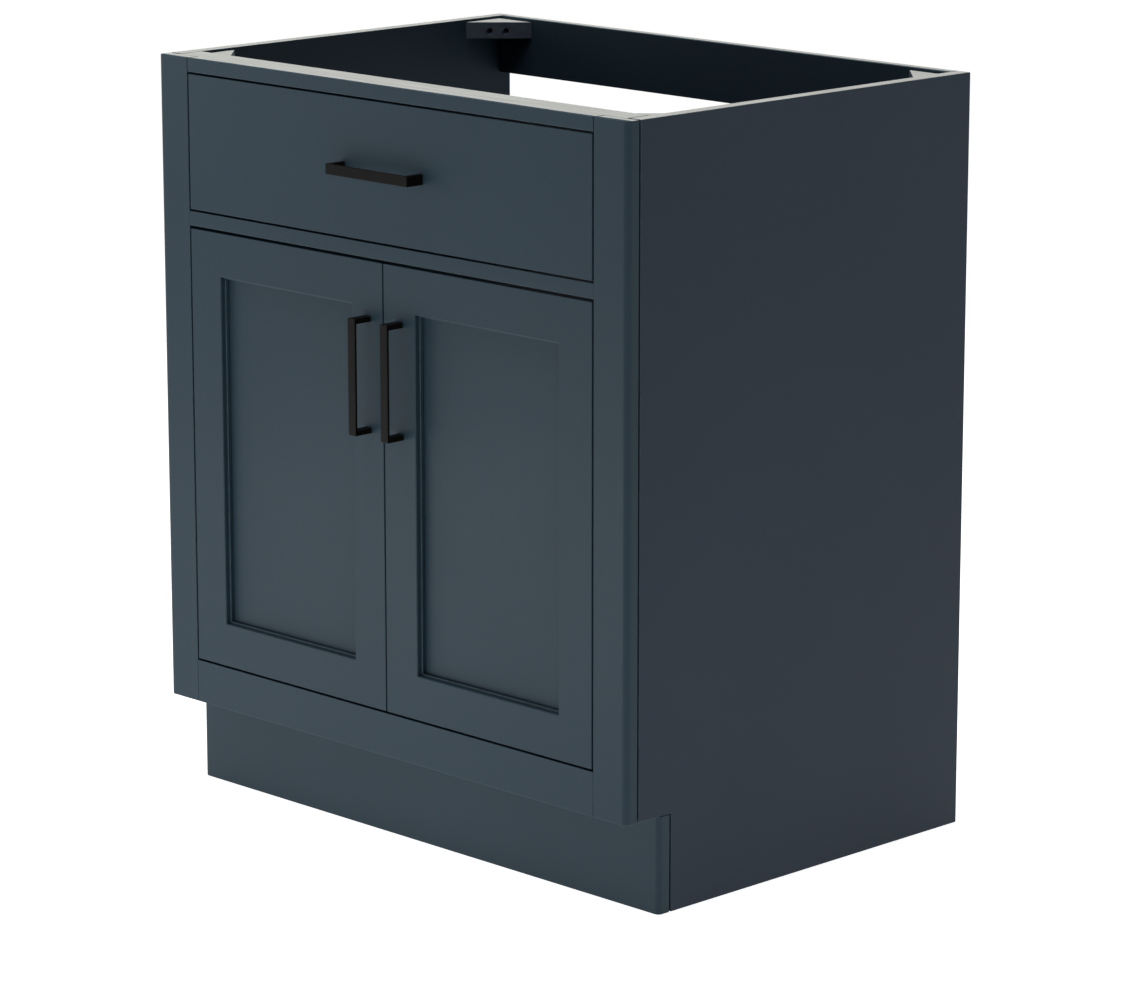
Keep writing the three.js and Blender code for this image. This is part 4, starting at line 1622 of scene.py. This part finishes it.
def screw_tree(material: bpy.types.Material) -> GeometrySheet:
    """Builds the tree that sets a cross-recess pan head on every point.

    Args:
        material: The screws' finish.

    Returns:
        The tree, with inputs Head Radius and Head Height.
    """
    sheet = GeometrySheet("cross_recess_screws")
    radius = sheet.size("Head Radius", 4 * MM)
    height = sheet.size("Head Height", 2.2 * MM)
    ball = sheet.node("GeometryNodeMeshUVSphere", Segments=28, Rings=14, Radius=radius)
    place = sheet.tree.nodes.new("GeometryNodeInputPosition").outputs[0]
    parts = sheet.node("ShaderNodeSeparateXYZ", Vector=place)
    flattened = sheet.math("MINIMUM", parts.outputs["Z"], height)
    dome = sheet.node(
        "GeometryNodeSetPosition",
        Geometry=ball.outputs["Mesh"],
        Position=sheet.vector(parts.outputs["X"], parts.outputs["Y"], flattened),
    )
    cut = sheet.tree.nodes.new("GeometryNodeMeshBoolean")
    cut.operation = "DIFFERENCE"
    sheet.tree.links.new(dome.outputs[0], cut.inputs[0])
    lift = sheet.vector(0.0, 0.0, sheet.math("MULTIPLY", height, 0.95))
    for wide, narrow in ((1.1, 0.26), (0.26, 1.1)):
        size = sheet.vector(
            sheet.math("MULTIPLY", radius, wide),
            sheet.math("MULTIPLY", radius, narrow),
            sheet.math("MULTIPLY", height, 1.1),
        )
        bar = sheet.node("GeometryNodeMeshCube", Size=size)
        moved = sheet.node("GeometryNodeTransform", Geometry=bar.outputs["Mesh"], Translation=lift)
        sheet.tree.links.new(moved.outputs[0], cut.inputs[1])
    aim = sheet.tree.nodes.new("GeometryNodeInputNamedAttribute")
    aim.data_type = "FLOAT_VECTOR"
    aim.inputs["Name"].default_value = "aim"
    align = sheet.node("FunctionNodeAlignRotationToVector", Vector=aim.outputs["Attribute"])
    align.axis = "Z"
    chance = sheet.tree.nodes.new("FunctionNodeRandomValue")
    chance.data_type = "FLOAT"
    numbers = [s for s in chance.inputs if s.type == "VALUE"]
    numbers[0].default_value, numbers[1].default_value = 0.0, math.tau
    chance.inputs["Seed"].default_value = 7
    value = next(s for s in chance.outputs if s.type == "VALUE")
    spin = sheet.node("FunctionNodeAxisAngleToRotation", Axis=(0.0, 0.0, 1.0), Angle=value)
    both = sheet.node(
        "FunctionNodeRotateRotation", Rotation=align.outputs[0], Rotate_By=spin.outputs[0]
    )
    both.rotation_space = "LOCAL"
    heads = sheet.node(
        "GeometryNodeInstanceOnPoints",
        Points=sheet.source.outputs["Geometry"], Instance=cut.outputs[0], Rotation=both.outputs[0],
    )
    sheet.close(heads.outputs[0], material)
    return sheet


def rib_tree(material: bpy.types.Material) -> GeometrySheet:
    """Builds the tree that lays a round rib across the tray at every point.

    Args:
        material: The ribs' finish.

    Returns:
        The tree, with inputs Rib Radius and Rib Length.
    """
    sheet = GeometrySheet("tray_ribs")
    radius = sheet.size("Rib Radius", 1.2 * MM)
    length = sheet.size("Rib Length", 30 * MM)
    bar = sheet.node("GeometryNodeMeshCylinder", Vertices=16, Radius=radius, Depth=length)
    laid = sheet.node(
        "GeometryNodeTransform", Geometry=bar.outputs["Mesh"], Rotation=(math.pi / 2, 0.0, 0.0)
    )
    ribs = sheet.node(
        "GeometryNodeInstanceOnPoints",
        Points=sheet.source.outputs["Geometry"], Instance=laid.outputs[0],
    )
    sheet.close(ribs.outputs[0], material)
    return sheet


def seed_points(name: str, screws: Sequence[Screw]) -> bpy.types.Object:
    """Makes an object with one loose point for each screw, and its direction as "aim".

    Args:
        name: The object's name.
        screws: The screws, or other repeated parts, to stand on the points.

    Returns:
        The new object.
    """
    mesh = bpy.data.meshes.new(name)
    mesh.from_pydata([tuple(s.at) for s in screws], [], [])
    aim = mesh.attributes.new("aim", "FLOAT_VECTOR", "POINT")
    for index, screw in enumerate(screws):
        aim.data[index].vector = screw.faces
    piece = bpy.data.objects.new(name, mesh)
    bpy.context.scene.collection.objects.link(piece)
    return piece


@dataclass
class Fasteners:
    """Every screw head and the tray's ribs. Heads and depths are in millimetres."""

    finishes: Finishes
    pull_head: Point2 = (4.0, 2.4)
    wood_head: Point2 = (3.1, 1.5)
    pull_head_depth: float = 19.0
    cleat_depth: float = 66.0
    plate_depth: float = 51.0
    plate_reach: float = 18 * MM
    arm_depths: Point2 = (42.0, 64.0)
    arm_rise: float = 4 * MM
    pocket_seat: float = 7.8
    stay_inset: float = 5.5 * MM
    rib_count: int = 27
    rib_margin: float = 28 * MM
    rib_seat: float = 2.2 * MM
    back: Vector = field(default_factory=lambda: Vector((0, 1, 0)))

    def grow(
        self, name: str, body: str, screws: Sequence[Screw], head: Point2, *nodes: str
    ) -> None:
        """Grows one body's screw heads.

        Args:
            name: The new piece's name.
            body: The body that it rides on.
            screws: The screws.
            head: Head radius and height in millimetres.
            nodes: Nodes that it stands for.
        """
        piece = seed_points(name, screws)
        sizes = {"Head Radius": head[0] * MM, "Head Height": head[1] * MM}
        screw_tree(self.finishes.zinc).run(piece, sizes)
        fit(piece, body, "zinc_steel", *nodes)

    def pull_screws(self, prefix: str, body: str) -> None:
        """Grows the two screws behind a pull.

        Args:
            prefix: How the pull's nodes begin.
            body: The body that it rides on.
        """
        nodes = [f"{prefix}_pull_screw_{number}" for number in (1, 2)]
        screws = []
        for node in nodes:
            box = Limits.of(node)
            at = Vector((box.middle("x"), depth(self.pull_head_depth), box.middle("z")))
            screws.append(Screw(at, self.back))
        self.grow(f"pull_screws_{prefix}", body, screws, self.pull_head, *nodes)

    def door_screws(self, side: Side) -> None:
        """Grows the four screws of a door's two hinge cups."""
        edge_x = Limits.of(f"{side.word}_door_hinge_stile").outer_x(side)
        x = edge_x - side.value * EAR_INSET
        screws = []
        for level in ("lower", "upper"):
            cup = Limits.of(f"{side.word}_{level}_hinge_cup")
            for way in (-1, 1):
                at = Vector((x, cup.high.y, cup.middle("z") + way * EAR_REACH))
                screws.append(Screw(at, self.back))
        self.grow(f"cup_screws_{side.word}", f"{side.word}_door", screws, self.wood_head)

    def carcass_screws(self) -> None:
        """Grows the screws of the hinge plates, cleats and arms."""
        screws = []
        for side in Side:
            inward = Vector((-side.value, 0, 0))
            cleat = Limits.of(f"{side.word}_hinge_cleat")
            for share in (0.12, 0.5, 0.88):
                z = cleat.low.z + (cleat.high.z - cleat.low.z) * share
                at = Vector((cleat.inner_x(side), depth(self.cleat_depth), z))
                screws.append(Screw(at, inward))
            for level in ("lower", "upper"):
                plate = Limits.of(f"{side.word}_{level}_hinge_plate")
                arm = Limits.of(f"{side.word}_{level}_hinge_arm")
                middle, plate_x = plate.middle("z"), plate.inner_x(side)
                for way in (-1, 1):
                    z = middle + way * self.plate_reach
                    at = Vector((plate_x, depth(self.plate_depth), z))
                    screws.append(Screw(at, inward))
                arm_x = arm.outer_x(side) - side.value * self.arm_rise
                for back in self.arm_depths:
                    screws.append(Screw(Vector((arm_x, depth(back), middle)), inward))
        self.grow("carcass_screws", "carcass", screws, self.wood_head)

    def stay_screws(self) -> None:
        """Grows the screws of the tip-out stays and of the tray."""
        screws = []
        for side in Side:
            stay = Limits.of(f"{side.word}_tip_out_stay")
            x = stay.inner_x(side) + side.value * self.stay_inset
            for z in (stay.low.z + 9 * MM, stay.low.z + 39 * MM):
                screws.append(Screw(Vector((x, stay.low.y + 1.5 * MM, z)), self.back))
        tray = Limits.of("tip_out_tray")
        for share in (0.08, 0.5, 0.92):
            x = tray.low.x + (tray.high.x - tray.low.x) * share
            screws.append(Screw(Vector((x, tray.low.y + 2 * MM, tray.high.z - 14 * MM)), self.back))
        self.grow("tip_out_screws", "tip_out", screws, self.wood_head)

    def block_screws(self) -> None:
        """Grows the screws deep in the corner blocks' pockets."""
        screws = []
        for end in ("front", "back"):
            for side in Side:
                for spot, drill in pocket_lines(end, side):
                    screws.append(Screw(spot + drill * self.pocket_seat * MM, -drill))
        self.grow("block_screws", "carcass", screws, self.wood_head)

    def tray_ribs(self) -> None:
        """Grows the ribs on the tray's floor."""
        tray = Limits.of("tip_out_tray")
        step = (tray.high.x - tray.low.x - 2 * self.rib_margin) / (self.rib_count - 1)
        middle_y, floor_z = tray.middle("y"), tray.low.z + self.rib_seat
        spots = []
        for index in range(self.rib_count):
            x = tray.low.x + self.rib_margin + step * index
            spots.append(Screw(Vector((x, middle_y, floor_z)), self.back))
        piece = seed_points("tray_floor_ribs", spots)
        rib_tree(self.finishes.plastic).run(piece, {"Rib Radius": 1.1 * MM, "Rib Length": 31 * MM})
        fit(piece, "tip_out", "tray_plastic")

    def build(self) -> None:
        """Grows every set."""
        for side in Side:
            self.pull_screws(f"{side.word}_door", f"{side.word}_door")
            self.door_screws(side)
        self.pull_screws("tip_out", "tip_out")
        self.carcass_screws()
        self.stay_screws()
        self.block_screws()
        self.tray_ribs()


# ---- studio ---------------------------------------------------------------------------------
@dataclass(frozen=True)
class Softbox:
    """A soft rectangular light, hidden from the camera; its power is in watts."""

    name: str
    at: tuple[float, float, float]
    target: tuple[float, float, float]
    size: Point2
    power: float

    def place(self) -> None:
        """Adds the light to the scene."""
        data = bpy.data.lights.new(self.name, "AREA")
        data.shape, data.energy = "RECTANGLE", self.power
        data.size, data.size_y = self.size
        lamp = bpy.data.objects.new(self.name, data)
        lamp.location = self.at
        lamp.visible_camera = False
        aim = Vector(self.target) - Vector(self.at)
        lamp.rotation_euler = aim.to_track_quat("-Z", "Y").to_euler()
        bpy.context.scene.collection.objects.link(lamp)


SOFTBOXES = (
    Softbox("overhead_softbox", (-0.3, -0.5, 3.4), (0.0, 0.0, 0.45), (2.2, 2.2), 64.0),
    Softbox("left_softbox", (-2.1, -1.3, 1.15), (-0.1, -0.26, 0.4), (0.8, 0.8), 8.5),
    Softbox("low_front_strip", (-0.45, -1.05, 0.16), (-0.15, -0.26, 0.2), (1.0, 0.2), 1.4),
    Softbox("back_softbox", (-0.5, 3.4, 2.2), (0.0, 0.0, 0.45), (1.8, 1.8), 26.0),
)


@dataclass
class Studio:
    """Pale floor, soft lights, white surroundings and the camera."""

    camera_at: Vector = field(default_factory=lambda: Vector((3.709, -3.633, 1.5675)))
    azimuth: float = 45.36
    elevation: float = 13.04
    lens: float = 145.16
    floor_half: float = 30.0
    floor_glow: float = 0.93
    floor_drop: float = 0.5 * MM
    sensor: float = 36.0
    clip: Point2 = (0.1, 100.0)

    def floor(self) -> None:
        """Lays the floor just under the cabinet."""
        solid = bmesh.new()
        bmesh.ops.create_grid(solid, x_segments=1, y_segments=1, size=self.floor_half)
        ground = plain_object("studio_floor", solid)
        ground.location.z = -self.floor_drop
        sheet = ShaderSheet("pale_floor")
        cloud = sheet.ramp(sheet.noise(0.8, 2.0), 0.3, 0.7)
        sheet.drive("Base Color", sheet.blend(cloud, (0.86, 0.86, 0.86, 1), (0.9, 0.9, 0.9, 1)))
        sheet.set(Roughness=0.8, Specular_IOR_Level=0.1, Emission_Strength=self.floor_glow)
        sheet.shader.inputs["Emission Color"].default_value = (1, 1, 1, 1)
        sheet.material.cycles.emission_sampling = "NONE"
        ground.data.materials.append(sheet.material)

    @staticmethod
    def surroundings(seen: float, lighting: float) -> None:
        """Sets the white surroundings.

        Args:
            seen: Brightness where they are seen directly.
            lighting: Brightness as they light the cabinet.
        """
        world = bpy.data.worlds.new("white_studio")
        world.use_nodes = True
        tree = world.node_tree
        glow = tree.nodes["Background"]
        path = tree.nodes.new("ShaderNodeLightPath")
        level = tree.nodes.new("ShaderNodeMapRange")
        level.inputs["To Min"].default_value = lighting
        level.inputs["To Max"].default_value = seen
        tree.links.new(path.outputs["Is Camera Ray"], level.inputs["Value"])
        tree.links.new(level.outputs["Result"], glow.inputs["Strength"])
        glow.inputs["Color"].default_value = (1, 1, 1, 1)
        bpy.context.scene.world = world

    def camera(self) -> None:
        """Sets the camera in front of the cabinet's right corner."""
        turn, lift = math.radians(self.azimuth), math.radians(self.elevation)
        level = math.cos(lift)
        back = Vector((math.sin(turn) * level, -math.cos(turn) * level, math.sin(lift)))
        data = bpy.data.cameras.new("camera")
        data.lens, data.sensor_width = self.lens, self.sensor
        data.clip_start, data.clip_end = self.clip
        eye = bpy.data.objects.new("camera", data)
        eye.location = self.camera_at
        eye.rotation_euler = (-back).to_track_quat("-Z", "Y").to_euler()
        bpy.context.scene.collection.objects.link(eye)
        bpy.context.scene.camera = eye

    def build(self) -> None:
        """Sets up the whole studio."""
        scene = bpy.context.scene
        scene.view_settings.view_transform = "Standard"
        self.camera()
        self.floor()
        self.surroundings(1.0, 0.08)
        for softbox in SOFTBOXES:
            softbox.place()


def main() -> None:
    """Builds the cabinet's pieces in order, then the studio."""
    logging.basicConfig(level=logging.INFO, format="%(name)s: %(message)s")
    finishes = Finishes()
    Carcass(finishes).build()
    FaceFrame(finishes).build()
    for side in Side:
        ShakerDoor(finishes, side).build()
        for level in ("lower", "upper"):
            ConcealedHinge(finishes, side, level).build()
    TipOutFront(finishes).build()
    Fasteners(finishes).build()
    Studio().build()


if __name__ == "__main__":
    main()
